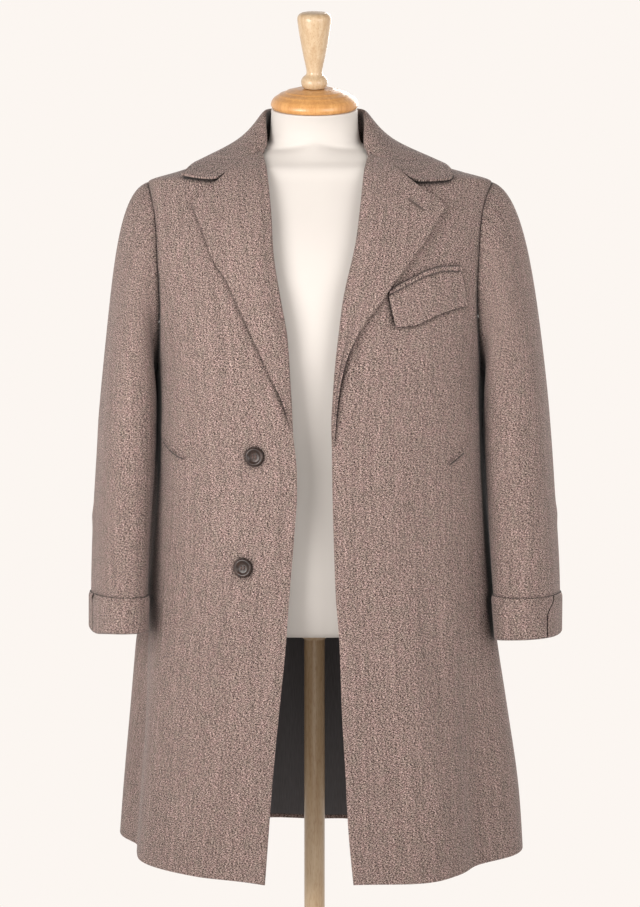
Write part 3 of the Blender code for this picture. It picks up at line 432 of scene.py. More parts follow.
def noiseAlong(tree, source, size, turn=0.0, detail=2.0, rough=0.5, warp=0.0):
    # noise whose grains are size[0] long in the direction of turn and size[1] wide, in metres
    flat = len(size) == 2
    mapping = addNode(tree, "Mapping", {
        "Vector": addNode(tree, "TexCoord").outputs[source], "Rotation": (0, 0, turn) if flat else turn,
        "Scale": (*size, 1) if flat else size}, vector_type="TEXTURE")
    return addNode(tree, "TexNoise", {
        "Vector": mapping.outputs["Vector"], "Scale": 1.0, "Detail": detail, "Roughness": rough,
        "Distortion": warp}).outputs["Fac"]


def ramp(tree, factor, *stops):
    node = addNode(tree, "ValToRGB", {"Fac": factor})
    elements = node.color_ramp.elements
    while len(elements) < len(stops):
        elements.new(0.5)
    for element, (place, colour) in zip(elements, stops):
        element.position, element.color = place, (*colour, 1)
    return node.outputs["Color"]


def multiply(tree, first, second):
    # the Mix node's colours are its inputs 6 and 7, and its output 2
    return addNode(tree, "Mix", {0: 1.0, 6: first, 7: second}, data_type="RGBA", blend_type="MULTIPLY").outputs[2]


def reckon(tree, operation, *values):
    return addNode(tree, "Math", dict(enumerate(values)), operation=operation).outputs[0]


def addBump(tree, shader, strength, distance, height):
    bump = addNode(tree, "Bump", {"Strength": strength, "Distance": distance, "Height": height})
    tree.links.new(bump.outputs["Normal"], shader.inputs["Normal"])


coating = {
    "speckle": [
        (0.43, (0.010, 0.006, 0.005)), (0.485, (0.073, 0.044, 0.039)), (0.515, (0.168, 0.109, 0.098)),
        (0.575, (0.455, 0.351, 0.311))],
    "float": (0.0025, 0.00086), "twill": math.radians(16), "sheen": 0.12,
    "row": 0.0046, "sway": 15.0, "swayGrain": (0.020, 0.0032), "rowDepth": 0.11,
    # grain, turn, detail, roughness, low and high end, depth and tint: single threads, streaks, soft patches
    "shades": [
        ((0.060, 0.0022), 90, 1.0, 0.5, 0.30, 0.70, 0.08, (1, 1, 1)),
        ((0.22, 0.0060), 90, 2.0, 0.5, 0.30, 0.70, 0.12, (1, 1, 1)),
        ((0.018, 0.012), 75, 3.0, 0.65, 0.32, 0.68, 0.075, (1.035, 0.985, 1.015))],
    "paintedShade": (0.56, 1.0, 0.14), "paintedShadeReach": 0.009,      # painted shade: ambient occlusion darkens the cloth's colour along seams and under edges
}


def coatingMaterial():
    material, tree, shader = startMaterial("woolTwill", coating["speckle"][1][1], 0.92, Specular_IOR_Level=0.12,
                                           Sheen_Weight=coating["sheen"], Sheen_Roughness=0.55)
    grains = noiseAlong(tree, "UV", coating["float"], coating["twill"], detail=2.0, rough=0.95, warp=0.25)
    colours = ramp(tree, grains, *coating["speckle"])
    split = addNode(tree, "SeparateXYZ", {"Vector": addNode(tree, "TexCoord").outputs["UV"]})
    sway = noiseAlong(tree, "UV", coating["swayGrain"], math.radians(90), detail=1.0)
    rows = reckon(tree, "SINE", reckon(tree, "MULTIPLY_ADD", split.outputs["Y"], 2 * math.pi / coating["row"],
                                       reckon(tree, "MULTIPLY", sway, coating["sway"])))
    shades = [(reckon(tree, "MULTIPLY_ADD", rows, 0.5, 0.5), 0.0, 1.0, coating["rowDepth"], (1, 1, 1))]
    for size, turn, detail, rough, *rest in coating["shades"]:
        shades.append((noiseAlong(tree, "UV", size, math.radians(turn), detail, rough), *rest))
    for factor, low, high, depth, tint in shades:
        dark, light = tuple((1 - depth) / part for part in tint), tuple((1 + depth) * part for part in tint)
        colours = multiply(tree, colours, ramp(tree, factor, (low, dark), (high, light)))
    # painted shade: the base colour is darkened where ambient occlusion finds seams, gaps and edges standing over the
    # cloth
    occlusionShade = addNode(tree, "AmbientOcclusion", {"Distance": coating["paintedShadeReach"]}, samples=16)
    low, high, shade = coating["paintedShade"]
    colours = multiply(tree, colours, ramp(tree, occlusionShade.outputs["AO"], (low, (shade,) * 3), (high, (1, 1, 1))))
    tree.links.new(colours, shader.inputs["Base Color"])
    addBump(tree, shader, 0.55, 0.0006, grains)
    return material


def addSurface(name, base, roughness, tone, stops, bump, relief=None, flecks=None, **sockets):
    # coloured by stops along one noise, and raised by it or by another, which may fleck it too
    material, tree, shader = startMaterial(name, base, roughness, **sockets)
    tones = noiseAlong(tree, *tone)
    raised = noiseAlong(tree, *relief) if relief else tones
    colours = ramp(tree, tones, *stops)
    if flecks:
        colours = multiply(tree, colours, ramp(tree, raised, *flecks))
    tree.links.new(colours, shader.inputs["Base Color"])
    addBump(tree, shader, *bump, raised)
    return material


def addThread(name, dark, light):
    return addSurface(name, light, 0.8, ("Object", (0.0006, 0.0006, 0.0012), (0.5, 0.2, 0.3), 1.0),
                      [(0.35, dark), (0.65, light)], (0.5, 0.0002), Sheen_Weight=0.2)


def addBeech(name, dark, middle, light):
    return addSurface(name, middle, 0.36, ("Object", (0.006, 0.006, 0.110), (0, 0, 0), 4.0, 0.6, 0.4),
                      [(0.30, dark), (0.52, middle), (0.72, light)], (0.10, 0.0003),
                      ("Object", (0.0011, 0.0011, 0.010), (0, 0, 0), 1.0),
                      [(0.34, (0.86, 0.80, 0.74)), (0.48, (1, 1, 1))], Coat_Weight=0.35, Coat_Roughness=0.22)


fabrics = {
    "coating": coatingMaterial(),
    "lining": addSurface("satinLining", (0.036, 0.031, 0.035), 0.42, ("UV", (0.02, 0.0010), math.radians(90), 1.0),
                         [(0.3, (0.026, 0.023, 0.026)), (0.7, (0.048, 0.042, 0.047))], (0.25, 0.0003),
                         Sheen_Weight=0.08),
}
print("materials ready")


# the front panels

front = {
    # height and distance from the middle: the free front edge, and above the break the line of the roll
    "edges": {
        right: np.array([
            (0.460, 0.0700), (0.643, 0.0549), (0.711, 0.0480), (0.793, 0.0398), (0.861, 0.0348), (0.945, 0.0279),
            (1.012, 0.0237), (1.038, 0.0240), (1.090, 0.0292), (1.143, 0.0332), (1.222, 0.0384), (1.275, 0.0476),
            (1.344, 0.0582), (1.385, 0.0604), (1.425, 0.0641), (1.456, 0.0680), (1.475, 0.0730), (1.492, 0.0770)]),
        left: np.array([
            (0.460, 0.0555), (0.549, 0.0468), (0.631, 0.0426), (0.698, 0.0386), (0.807, 0.0345), (0.861, 0.0301),
            (0.932, 0.0273), (1.012, 0.0252), (1.075, 0.0245), (1.161, 0.0285), (1.233, 0.0359), (1.275, 0.0415),
            (1.358, 0.0595), (1.425, 0.0678), (1.456, 0.0715), (1.475, 0.0760), (1.492, 0.0800)]),
    },
    "across": 64, "up": 162, "rollInset": 0.0040, "rollFade": 0.08,
    "cut": {right: (0.30, 1.20, 0.262), left: (0.36, 1.21, 0.290)},    # width, length, area
}
lapel = {
    # height and distance from the middle of the free edge, from the tip down to the break
    "edges": {
        right: np.array([
            (1.4075, 0.1690), (1.3960, 0.1640), (1.3590, 0.1488), (1.327, 0.1364), (1.298, 0.1176), (1.274, 0.1069),
            (1.228, 0.0858), (1.170, 0.0595), (1.128, 0.0411), (1.094, 0.0325)]),
        left: np.array([
            (1.4010, 0.1782), (1.3900, 0.1732), (1.3560, 0.1512), (1.324, 0.1282), (1.295, 0.1068), (1.275, 0.0932),
            (1.240, 0.0671), (1.184, 0.0415), (1.133, 0.0325), (1.072, 0.0275)]),
    },
    "gorge": {right: (1.4790, 0.0735), left: (1.4760, 0.0770)},
    "notch": {right: (1.4370, 0.1395), left: (1.4345, 0.1475)},
    "clear": 0.0012, "edgeLift": {right: 0.0030, left: 0.0062}, "wall": 0.0031, "thinEnd": (0.25, 0.10),
    # the face bulges beside the roll; how far from it, how lopsided and how sharp
    "roll": 0.0070, "rollReach": 0.06, "rollSkew": 1.9, "rollPower": 1.3,
    # the wrap goes round the edge for a share of its columns, and then flat inside
    "wrapTurn": 0.6, "wrapRoom": 0.0026, "wrapStart": 0.95, "inside": 0.012, "narrow": 0.012, "sunken": 0.0012,
    "wrapColumns": 16, "faceColumns": 44, "up": 96, "cut": (0.16, 0.44, 0.034),
}
lapelColumns = lapel["wrapColumns"] + lapel["faceColumns"]
wrapShare = lapel["wrapColumns"] / lapelColumns


def frontPlace(side, u, v):
    z = rowHeight(panelRows, v)
    inset = front["rollInset"] * smoothStep((z - lapel["edges"][side][-1][0]) / front["rollFade"])
    start = angleAt(side, lookUp(front["edges"][side], z) + inset, z)
    end = math.pi - backAngles(side, z)[0]
    angle = end + (start - end) * crowded(1 - u, z)
    return onPanel(side, angle, z)


frontPieces = {}
for side, word in sideWord.items():
    piece = layCloth("front" + word, front["across"], front["up"], partial(frontPlace, side))
    finishCloth(piece, cloth["wall"])
    frontPieces[side] = piece
print("fronts laid")


# the backs and the lining that shows between the fronts

back = {
    "across": 48, "up": 162, "cut": (0.43, 1.21, 0.339),
    "liningAcross": 96, "liningUp": 80, "liningHem": 0.4765, "liningSide": 1 / 9, "liningCut": (0.74, 0.64, 0.384),
}


def backPlace(side, u, v):
    z = rowHeight(panelRows, v)
    start, end = backAngles(side, z)
    angle = start + (end - start) * crowded(u, z)
    points = onPanel(side, angle, z)
    points[:, 0] = side * np.maximum(side * points[:, 0], cloth["seamGap"] / 2)
    return points


def liningPlace(u, v):
    height = rowHeight([back["liningHem"], *skirtRows[2:]], v)
    points = np.empty((len(height), 3))
    for side in (right, left):
        here = (u > 0.5) if side == left else (u <= 0.5)
        z = height[here]
        start, end = backAngles(side, z)
        share = (1 - np.abs(2 * u[here] - 1)) * (1 - back["liningSide"]) + back["liningSide"]
        angle = start + (end - start) * share
        points[here] = onPanel(side, angle, z, -(cloth["wall"] + 2 * cloth["seamGap"]))
    points[np.abs(u - 0.5) < 1e-6, 0] = 0
    return points


for side, word in sideWord.items():
    piece = layCloth("back" + word, back["across"], back["up"], partial(backPlace, side), grain=1.0)
    finishCloth(piece, cloth["wall"])
piece = layCloth("backLining", back["liningAcross"], back["liningUp"], liningPlace, grain=0.5)
finishCloth(piece, cloth["liningWall"], edge=0.0003,
            fabric="lining")
print("backs and lining laid")


# the lapels, rolled round the front's edge

def alongEdge(rows, share):
    # the edge's distance from the middle and its height, by the share of its length
    lengths = np.concatenate([[0], np.cumsum(np.linalg.norm(np.diff(rows, axis=0), axis=1))])
    return [curveThrough(lengths, rows[:, k], share * lengths[-1]) for k in (1, 0)]


def rollRows(side):
    edge, breakHeight, gorge = front["edges"][side], lapel["edges"][side][-1][0], lapel["gorge"][side]
    rows = [tuple(row) for row in edge[::-1] if breakHeight < row[0] < gorge[0] - 0.01]
    return np.array([gorge, *rows, (breakHeight, lookUp(edge, breakHeight))])


def lapelPlace(side, u, v):
    rollX, rollZ = alongEdge(rollRows(side), 1 - v)
    freeX, freeZ = alongEdge(lapel["edges"][side], 1 - v)
    breadth = np.abs(freeX - rollX)
    face = np.clip((u - wrapShare) / (1 - wrapShare), 0, 1)
    turn = np.clip((wrapShare - u) / wrapShare, 0, 1)
    wide = smoothStep(breadth / lapel["narrow"])     # nothing at the break
    middle = (lapel["clear"] + cloth["folded"] / 2) * wide - lapel["sunken"] * (1 - wide)
    radius = (middle + cloth["wall"] + lapel["wrapRoom"] * wide) / 2
    swing = math.pi * np.clip(turn / lapel["wrapTurn"], 0, 1)
    further = lapel["inside"] * np.clip((turn - lapel["wrapTurn"]) / (1 - lapel["wrapTurn"]), 0, 1)
    startX = rollX + radius * lapel["wrapStart"]
    x = startX + (freeX - startX) * face - radius * np.sin(swing) + further
    shifted = face * lapel["rollSkew"] / (1 + (lapel["rollSkew"] - 1) * face)
    bulge = lapel["roll"] * np.sin(math.pi * shifted) ** lapel["rollPower"] * smoothStep(breadth / lapel["rollReach"])
    rise = lapel["edgeLift"][side] * smoothStep((face - 0.5) / 0.5) * wide
    return offFront(side, x, rollZ + (freeZ - rollZ) * face, middle + bulge + rise - radius * (1 - np.cos(swing)))


lapelPieces = {}
thinnest, thinShare = lapel["thinEnd"]
for side, word in sideWord.items():
    piece = layCloth("lapel" + word, lapelColumns, lapel["up"], partial(lapelPlace, side), grain=0.25)
    weights = thinnest + (1 - thinnest) * smoothStep(rowShares(lapelColumns, lapel["up"]) / thinShare)
    finishCloth(piece, lapel["wall"], offset=0.0, edge=0.0010,
                weights=weights)
    lapelPieces[side] = piece
print("lapels rolled")


# the collar: stand, roll and fall

collar = {
    "tips": {right: (1.4430, 0.1838), left: (1.4384, 0.1965)},
    "edgeSide": 1.4700, "edgeBack": 1.4660,
    # share of the way from the gorge to the centre back, and the roll's place on the wearer's right
    "roll": np.array([
        (0.00, 0.0715, -0.0500, 1.4890), (0.15, 0.0720, -0.0300, 1.5100), (0.32, 0.0715, -0.0060, 1.5345),
        (0.50, 0.0680, 0.0220, 1.5440), (0.72, 0.0520, 0.0560, 1.5480), (1.00, 0.0000, 0.0770, 1.5490)]),
    "wider": {right: 0.0, left: 0.0030}, "footStart": math.radians(62), "footIn": 0.93, "footReach": 0.40,
    "clear": 0.0018, "shoulderLift": 0.0024, "frontLift": 0.0034, "frontRise": 0.0012, "notchShare": 0.65,
    "turns": np.array([1.0, 0.72, 0.50, 0.32, 0.14, 0.02]),    # of the lapel's wrap that the stand and the roll take on
    "ease": (0.225, 0.060), "stations": 13, "fall": 6, "stand": 3, "tipCrease": 0.9, "cut": (0.56, 0.17, 0.068),
    "overAngle": math.radians(95), "shoulderAngle": 88, "shoulderWidth": 19,
    "footEase": 0.9, "firstFoot": (0.002, 0.004, -0.006),      # inwards, back and down from the roll's first point
    "rollHalf": 1.4, "rollTop": 0.6,                           # in halves of the folded cloth
    # how far the fall's curve leaves the roll and reaches back from the edge
    "leaveOut": 0.012, "leaveDown": 0.010, "reachUphill": 0.035, "reachUp": 0.016,
}


def rollPoint(side, t):
    x, y, z = lookUp(collar["roll"], t)
    return np.array([side * (x + collar["wider"][side] * (1 - t)), y, z])


def collarProfile(side, t):
    # the middle of the cloth at one station: up the stand, over the roll and down the fall
    half = cloth["folded"] / 2
    roll, up = rollPoint(side, t), np.array([0, 0, 1.0])
    footAngle = collar["footStart"] + (math.pi - collar["footStart"]) * smoothStep(t) ** collar["footEase"]
    foot = bodyPoint(side, footAngle, body["neck"]) + up * (half + cloth["seamGap"])
    foot[0] *= collar["footIn"]
    firstFoot = rollPoint(side, 0) + (-side, 1, 1) * np.array(collar["firstFoot"])
    foot = firstFoot + (foot - firstFoot) * smoothStep(t / collar["footReach"])
    outwards = unit(np.array([roll[0], roll[1] - 0.005, 0]))
    aside = outwards * half * collar["rollHalf"]
    standTop, start = roll - aside - up * half, roll + aside
    stand = [foot + (standTop - foot) * k / collar["stand"] for k in range(collar["stand"] + 1)]
    tipZ, tipX = collar["tips"][side]
    tipAngle = angleAt(side, tipX, tipZ)
    angle = tipAngle + (math.pi - tipAngle) * t
    over = min(1.0, (angle - tipAngle) / (collar["overAngle"] - tipAngle)) ** 0.5
    z = tipZ + (collar["edgeSide"] - tipZ) * over + (collar["edgeBack"] - collar["edgeSide"]) * smoothStep(t)
    overShoulder = math.exp(-(((math.degrees(angle) - collar["shoulderAngle"]) / collar["shoulderWidth"]) ** 2))
    edge = offBody(side, angle, z, half + collar["clear"] + collar["shoulderLift"] * overShoulder)
    uphill = unit(offBody(side, angle, min(z + 0.012, body["neck"] - 0.002), half) - edge)
    leave = start + outwards * collar["leaveOut"] - up * collar["leaveDown"]
    arrive = edge + uphill * collar["reachUphill"] + up * collar["reachUp"]
    fall = [bezier(start, leave, arrive, edge, k / collar["fall"]) for k in range(1, collar["fall"] + 1)]
    return np.array(stand + [roll + up * half * collar["rollTop"], start] + fall)


def collarFront(side):
    # the first station: the lapel's own top row along the gorge, and then the collar's free front end
    notch, tip = np.array([lapel["notch"][side], collar["tips"][side]])[..., None]
    gorgeX, tipX = lapel["gorge"][side][1], lapel["edges"][side][0][1]
    down = np.arange(1, collar["fall"] + 1) / collar["fall"]
    sewn, free = down[down <= collar["notchShare"]], down[down > collar["notchShare"]]
    faces = (notch[1] - gorgeX) / (tipX - gorgeX) * sewn / collar["notchShare"]
    shares = np.concatenate([wrapShare * (1 - collar["turns"]), wrapShare + (1 - wrapShare) * faces])
    z, x = notch + (tip - notch) * (free - collar["notchShare"]) / (1 - collar["notchShare"])
    lift = cloth["folded"] / 2 + collar["clear"] + collar["frontLift"]
    return np.concatenate([lapelPlace(side, shares, np.ones(len(shares))),
                           offFront(side, x, z + collar["frontRise"], lift)])


def collarRings():
    halves = []
    for side in (right, left):
        half = np.array([collarProfile(side, k / collar["stations"]) for k in range(collar["stations"] + 1)])
        half[0] = collarFront(side)
        for k, share in enumerate(collar["ease"], 1):
            half[k] += (half[0] + (half[k][-1] - half[0][-1]) - half[k]) * share
        halves.append(half)
    rings = np.concatenate([halves[0], halves[1][-2::-1]])
    rings[collar["stations"], :, 0] = 0
    return rings


rings = collarRings()
neckMiddle = np.array([0, 0.01, 0])
piece = layRows("coatCollar", rings.swapaxes(0, 1), grain=0.5, axis=lambda points: garmentAxis(points) + neckMiddle)
pick(piece)
sharpTip = min(piece.data.vertices, key=lambda vertex: (vertex.co - Vector(rings[0, -1])).length).index
bpy.ops.object.mode_set(mode="EDIT")
bpy.ops.mesh.select_all(action="DESELECT")
bpy.ops.object.mode_set(mode="OBJECT")
piece.data.vertices[sharpTip].select = True
bpy.ops.object.mode_set(mode="EDIT")
bpy.ops.transform.vert_crease(value=collar["tipCrease"])
bpy.ops.object.mode_set(mode="OBJECT")
applyModifier(piece, "SUBSURF", levels=3, render_levels=3)
finishCloth(piece, lapel["wall"], offset=0.0, edge=0.0010,
            node="collar")
print("collar rolled")


# the sleeves

sleeve = {
    # height, the middle's place, half thickness, half depth, degrees that the front end turns in
    "rings": {
        right: np.array([
            (1.100, 0.2690, 0.002, 0.0400, 0.078, 14), (1.050, 0.2712, -0.004, 0.0395, 0.075, 16),
            (0.985, 0.2752, -0.015, 0.0380, 0.072, 18), (0.920, 0.2780, -0.027, 0.0365, 0.069, 20),
            (0.860, 0.2792, -0.039, 0.0352, 0.066, 22), (0.811, 0.2798, -0.049, 0.0338, 0.064, 23)]),
        left: np.array([
            (1.100, 0.2915, 0.002, 0.0460, 0.078, 14), (1.050, 0.2940, -0.004, 0.0465, 0.075, 16),
            (0.985, 0.2975, -0.015, 0.0460, 0.072, 18), (0.920, 0.3010, -0.027, 0.0455, 0.070, 20),
            (0.860, 0.3036, -0.039, 0.0438, 0.067, 22), (0.802, 0.3053, -0.051, 0.0405, 0.065, 23)]),
    },
    "square": 2.3, "segments": 20, "frontSeam": 7, "backSeam": -6,
    "capSteps": [0.0, 0.10, 0.22, 0.36, 0.52, 0.68, 0.84],
    # how the cap leaves the armhole and where it arrives: outwards, forwards and down, more so at the shoulder
    "underOut": 0.012, "headOut": 0.035, "leanIn": 0.017, "hang": 0.58,
    "foreLeave": 0.010, "foreArrive": 0.004, "drop": 0.010, "headDrop": 0.004,
    "up": 120, "columns": 6, "seamHalf": 0.05, "clear": 0.0001,      # columns in a segment, half a sleeve's breadth
    "turnProbe": 0.02, "downProbe": 0.004,
    "cut": {"Top": (0.45, 0.67, 0.151), "Under": (0.20, 0.49, 0.050)},
    # turn round the sleeve, height, half width of each way, depth and slant: soft creases at the elbow
    "creases": {
        right: [(80, 1.085, 60, 0.010, -0.0016, 0.010), (95, 1.040, 45, 0.008, -0.0020, 0.014),
                (70, 0.995, 50, 0.011, -0.0014, 0.008), (200, 1.120, 60, 0.012, 0.0018, -0.012),
                (250, 1.060, 50, 0.010, -0.0020, 0.010), (300, 0.960, 60, 0.012, 0.0016, 0.012)],
        left: [(85, 1.100, 55, 0.009, -0.0016, -0.012), (70, 1.055, 60, 0.011, -0.0020, -0.008),
               (100, 1.010, 45, 0.009, -0.0014, -0.014), (190, 1.105, 60, 0.012, 0.0018, 0.012),
               (240, 1.040, 55, 0.010, -0.0022, -0.010), (310, 0.970, 60, 0.012, 0.0016, -0.012)],
    },
}


def sleeveRingPoint(side, turn, z, grow=0.0):
    middleX, middleY, thick, deep, twist = lookUp(sleeve["rings"][side][::-1], z)
    thick, deep, twist = thick + grow, deep + grow, np.radians(twist)
    out, fore = np.cos(turn), np.sin(turn)
    r = (np.abs(out / thick) ** sleeve["square"] + np.abs(fore / deep) ** sleeve["square"]) ** (-1 / sleeve["square"])
    x = r * out * np.cos(twist) - r * fore * np.sin(twist)
    y = -r * fore * np.cos(twist) - r * out * np.sin(twist)
    return np.stack(np.broadcast_arrays(side * (middleX + x), middleY + y, z), axis=-1)


def armholePoint(side, turn):
    z = armholeMiddle + armholeHalf * np.cos(turn)
    points = bodyPoint(side, math.pi / 2 - np.copysign(armholeAngle(z), np.sin(turn)), z)
    points[..., 0] += side * (cloth["seamGap"] + sleeve["clear"])
    return points


def sleevePoint(side, turn, t):
    # t runs from 0 at the armhole through 1, where the sleeve hangs free, to 2 at its end
    turn, t = np.broadcast_arrays(np.asarray(turn, float), np.asarray(t, float))
    top, bottom = sleeve["rings"][side][0][0], sleeve["rings"][side][-1][0]
    hanging = sleeveRingPoint(side, turn, top + (bottom - top) * np.clip(t - 1, 0, 1))
    start, end = armholePoint(side, turn), sleeveRingPoint(side, turn, np.full(turn.shape, top))
    upper, fore = (1 + np.cos(turn)) / 2, -np.sin(turn)
    leave = start + np.stack([side * (sleeve["underOut"] + sleeve["headOut"] * upper), sleeve["foreLeave"] * fore,
                              -sleeve["drop"] - sleeve["headDrop"] * upper], axis=-1)
    arrive = end + np.stack([-side * sleeve["leanIn"] * upper, sleeve["foreArrive"] * fore,
                             sleeve["hang"] * (start[..., 2] - end[..., 2])], axis=-1)
    cap = bezier(start, leave, arrive, end, np.clip(t, 0, 1)[..., None])
    return np.where((t >= 1)[..., None], hanging, cap)


def sleevePlace(side, first, final, u, v):
    heights = sleeve["rings"][side][:, 0]
    steps = sleeve["capSteps"] + [1 + (heights[0] - z) / (heights[0] - heights[-1]) for z in heights]
    seam = cloth["seamGap"] / 2 / sleeve["seamHalf"]
    start, end = (2 * math.pi * k / sleeve["segments"] for k in (first, final))
    turn = start + seam + (end - start - 2 * seam) * u
    t = rowHeight(steps, v)
    aside, ahead = sleeve["turnProbe"], sleeve["downProbe"]
    inner = np.clip(t, ahead, 2 - ahead)
    outward = sleevePoint(side, turn, inner) - sleevePoint(side, turn + math.pi, inner)
    normal = unit(np.cross(sleevePoint(side, turn + aside, inner) - sleevePoint(side, turn - aside, inner),
                           sleevePoint(side, turn, inner + ahead) - sleevePoint(side, turn, inner - ahead)))
    normal *= np.sign(np.sum(normal * outward, axis=-1, keepdims=True))
    points, relief = sleevePoint(side, turn, t), np.zeros(turn.shape)
    for at, height, wide, deep, rise, slant in sleeve["creases"][side]:
        off = (np.degrees(turn) - at + 180) % 360 - 180
        down = points[..., 2] - height - slant * off / wide
        relief += rise * np.exp(-((off / wide) ** 2) * 2) * np.exp(-((down / deep) ** 2))
    return points + normal * relief[..., None]


def sleeveAxis(side, points):
    middleX, middleY = lookUp(sleeve["rings"][side][::-1], points[..., 2])[:2]
    return np.stack([side * middleX, middleY, points[..., 2]], axis=-1)


for side, word in sideWord.items():
    for part, first, final in (("Top", sleeve["backSeam"], sleeve["frontSeam"]),
                               ("Under", sleeve["frontSeam"], sleeve["backSeam"] + sleeve["segments"])):
        piece = layCloth("sleeve" + word + part, sleeve["columns"] * (final - first), sleeve["up"],
                         partial(sleevePlace, side, first, final), grain=0.5, base=1.0, axis=partial(sleeveAxis, side))
        finishCloth(piece, cloth["wall"])
print("sleeves hung")


# the turned-back cuffs

cuff = {
    "top": 0.8560, "bottom": {right: 0.8075, left: 0.7990}, "proud": 0.0003,
    "rise": {right: 0.0010, left: 0.0045},       # how much higher the outer side ends
    "flat": {right: 0.0065, left: 0.0045},       # and how much lower both sides end than the front and the back
    "thinning": 0.6, "thinFrom": 0.92, "wallShare": 0.9, "foldRoom": 1.5,      # in walls of cloth
    # from the free edge down to the fold, over it, and from here up into the sleeve
    "foldShare": 0.35, "insideShare": 0.15, "inside": 0.016,
    # degrees round the sleeve; the slit bends and opens from these shares on
    "slit": {right: -8.0, left: 42.0}, "slitHalf": 1.2, "bendFrom": 0.45, "bendPower": 1.3, "openFrom": 0.72,
    "slitBend": {right: 0.0, left: -21.0}, "slitOpen": {right: 5.0, left: 0.6},
    "across": 110, "up": 60,
    "cut": {right: (0.352, 0.077, 0.025), left: (0.387, 0.097, 0.0305)},
}


def thinnedEdge(v):
    return cuff["thinning"] * smoothStep((v - cuff["thinFrom"]) / (1 - cuff["thinFrom"]))


def cuffPlace(side, u, v):
    fold, edge = cuff["foldShare"], cuff["insideShare"]
    outside, inside = np.clip((v - fold) / (1 - fold), 0, 1), np.clip((edge - v) / edge, 0, 1)
    swing = math.pi * np.clip((fold - v) / (fold - edge), 0, 1)
    bent, opened = (smoothStep((outside - start) / (1 - start)) for start in (cuff["bendFrom"], cuff["openFrom"]))
    slit = cuff["slit"][side] + cuff["slitBend"][side] * bent ** cuff["bendPower"]
    half = cuff["slitHalf"] + cuff["slitOpen"][side] * opened
    turn = np.radians(slit + half + (360 - 2 * half) * u)
    outer = cloth["seamGap"] + cuff["proud"] + cloth["wall"] / 2
    radius = (outer + cloth["wall"] * cuff["foldRoom"] + cloth["seamGap"]) / 2
    low = cuff["bottom"][side] + radius
    z = low + (cuff["top"] - low) * outside - radius * np.sin(swing) + cuff["inside"] * inside
    grow = outer - radius * (1 - np.cos(swing)) - thinnedEdge(v) / 2 * cloth["wall"]
    points = sleeveRingPoint(side, turn, np.maximum(z, low - radius), grow)
    tilt = cuff["rise"][side] * np.cos(turn) - cuff["flat"][side] * np.cos(turn) ** 2
    points[..., 2] = z + tilt * (1 - outside)
    return points


for side, word in sideWord.items():
    piece = layCloth("cuff" + word, cuff["across"], cuff["up"], partial(cuffPlace, side), grain=0.5,
                     axis=partial(sleeveAxis, side))
    weights = 1 - thinnedEdge(rowShares(cuff["across"], cuff["up"]))
    finishCloth(piece, cloth["wall"] * cuff["wallShare"],
                offset=0.0, edge=0.0004, weights=weights)
print("cuffs turned back")


# pockets

chestPocket = {
    # distance from the middle, and the heights of the flap's top and bottom
    "flap": np.array([
        (0.1060, 1.2810, 1.2370), (0.1290, 1.2925, 1.2385), (0.1600, 1.3075, 1.2515), (0.1840, 1.3135, 1.2605),
        (0.2075, 1.3140, 1.2665)]),
    "jetHeight": 0.0050, "swell": 0.0025, "lean": 0.0080, "loose": 0.0030, "tuck": 0.0016, "jetWall": 0.0016,
    "flapWall": 0.0026, "flapLift": 0.0008, "jetLift": 0.0002, "jetAbove": 0.0009, "across": 56,
    "loosePower": 1.5, "looseEnd": 0.8, "tuckFrom": 0.9,      # looser down the flap and towards its inner end
    "flapCut": (0.120, 0.058, 0.0065), "jetCut": (0.118, 0.010, 0.0009),
}
sidePocket = {
    "ends": {right: ((0.1830, 1.0519), (0.2150, 1.0760)), left: ((0.1880, 1.0445), (0.2200, 1.0705))},
    "bow": {right: 0.0030, left: 0.0010}, "width": 0.0062, "lip": 0.0016, "mouth": 0.40,
    "mouthEnds": {right: (0.04, 0.96), left: (0.04, 0.62)},
    "wall": 0.0012, "lift": 0.0002, "mouthSteps": 32, "slitShadeRadius": 0.00085, "endReach": (0.06, 0.10),
    "cut": {right: (0.077, 0.016, 0.00080), left: (0.056, 0.016, 0.00058)},
}


def flapEdges(u):
    # distance from the middle, and the flap's top and bottom there
    table = chestPocket["flap"]
    x = table[0, 0] + (table[-1, 0] - table[0, 0]) * u
    return x, *lookUp(table, x)


def flapPlace(u, v):
    x, top, bottom = flapEdges(u)
    loose = chestPocket["loose"] * (1 - v) ** chestPocket["loosePower"] * (1 + chestPocket["looseEnd"] * (1 - u) ** 2)
    tucked = smoothStep((v - chestPocket["tuckFrom"]) / (1 - chestPocket["tuckFrom"]))     # into the piping's seam
    return offFront(left, x + chestPocket["lean"] * (0.5 - v), bottom + (top - bottom) * v,
                    cloth["seamGap"] + loose + chestPocket["flapLift"] - chestPocket["tuck"] * tucked)


def jetPlace(u, v):
    x, top, _ = flapEdges(u)
    swell = chestPocket["swell"] * np.sin(math.pi * v) ** 0.5
    return offFront(left, x - chestPocket["lean"] / 2, top + chestPocket["jetAbove"] + chestPocket["jetHeight"] * v,
                    cloth["seamGap"] + chestPocket["jetLift"] + swell)


def sidePocketPlace(side, u, v):
    low, high = (np.array(end) for end in sidePocket["ends"][side])
    across = unit(np.array([high[1] - low[1], low[0] - high[0]]))
    off = sidePocket["width"] * (v - 0.5) + sidePocket["bow"][side] * np.sin(math.pi * u)
    (start, finish), (early, reach) = sidePocket["mouthEnds"][side], sidePocket["endReach"]
    ends = smoothStep((u - start + early) / reach) * smoothStep((finish + early - u) / reach)
    beside = np.abs(v - 0.5) / 0.5      # from the mouth outwards
    lips = sidePocket["lip"] * smoothStep(beside / sidePocket["mouth"]) * smoothStep((1 - beside) / 0.6)
    x = low[0] + (high[0] - low[0]) * u + across[0] * off
    z = low[1] + (high[1] - low[1]) * u + across[1] * off
    return offFront(side, x, z, sidePocket["lift"] + lips * ends)
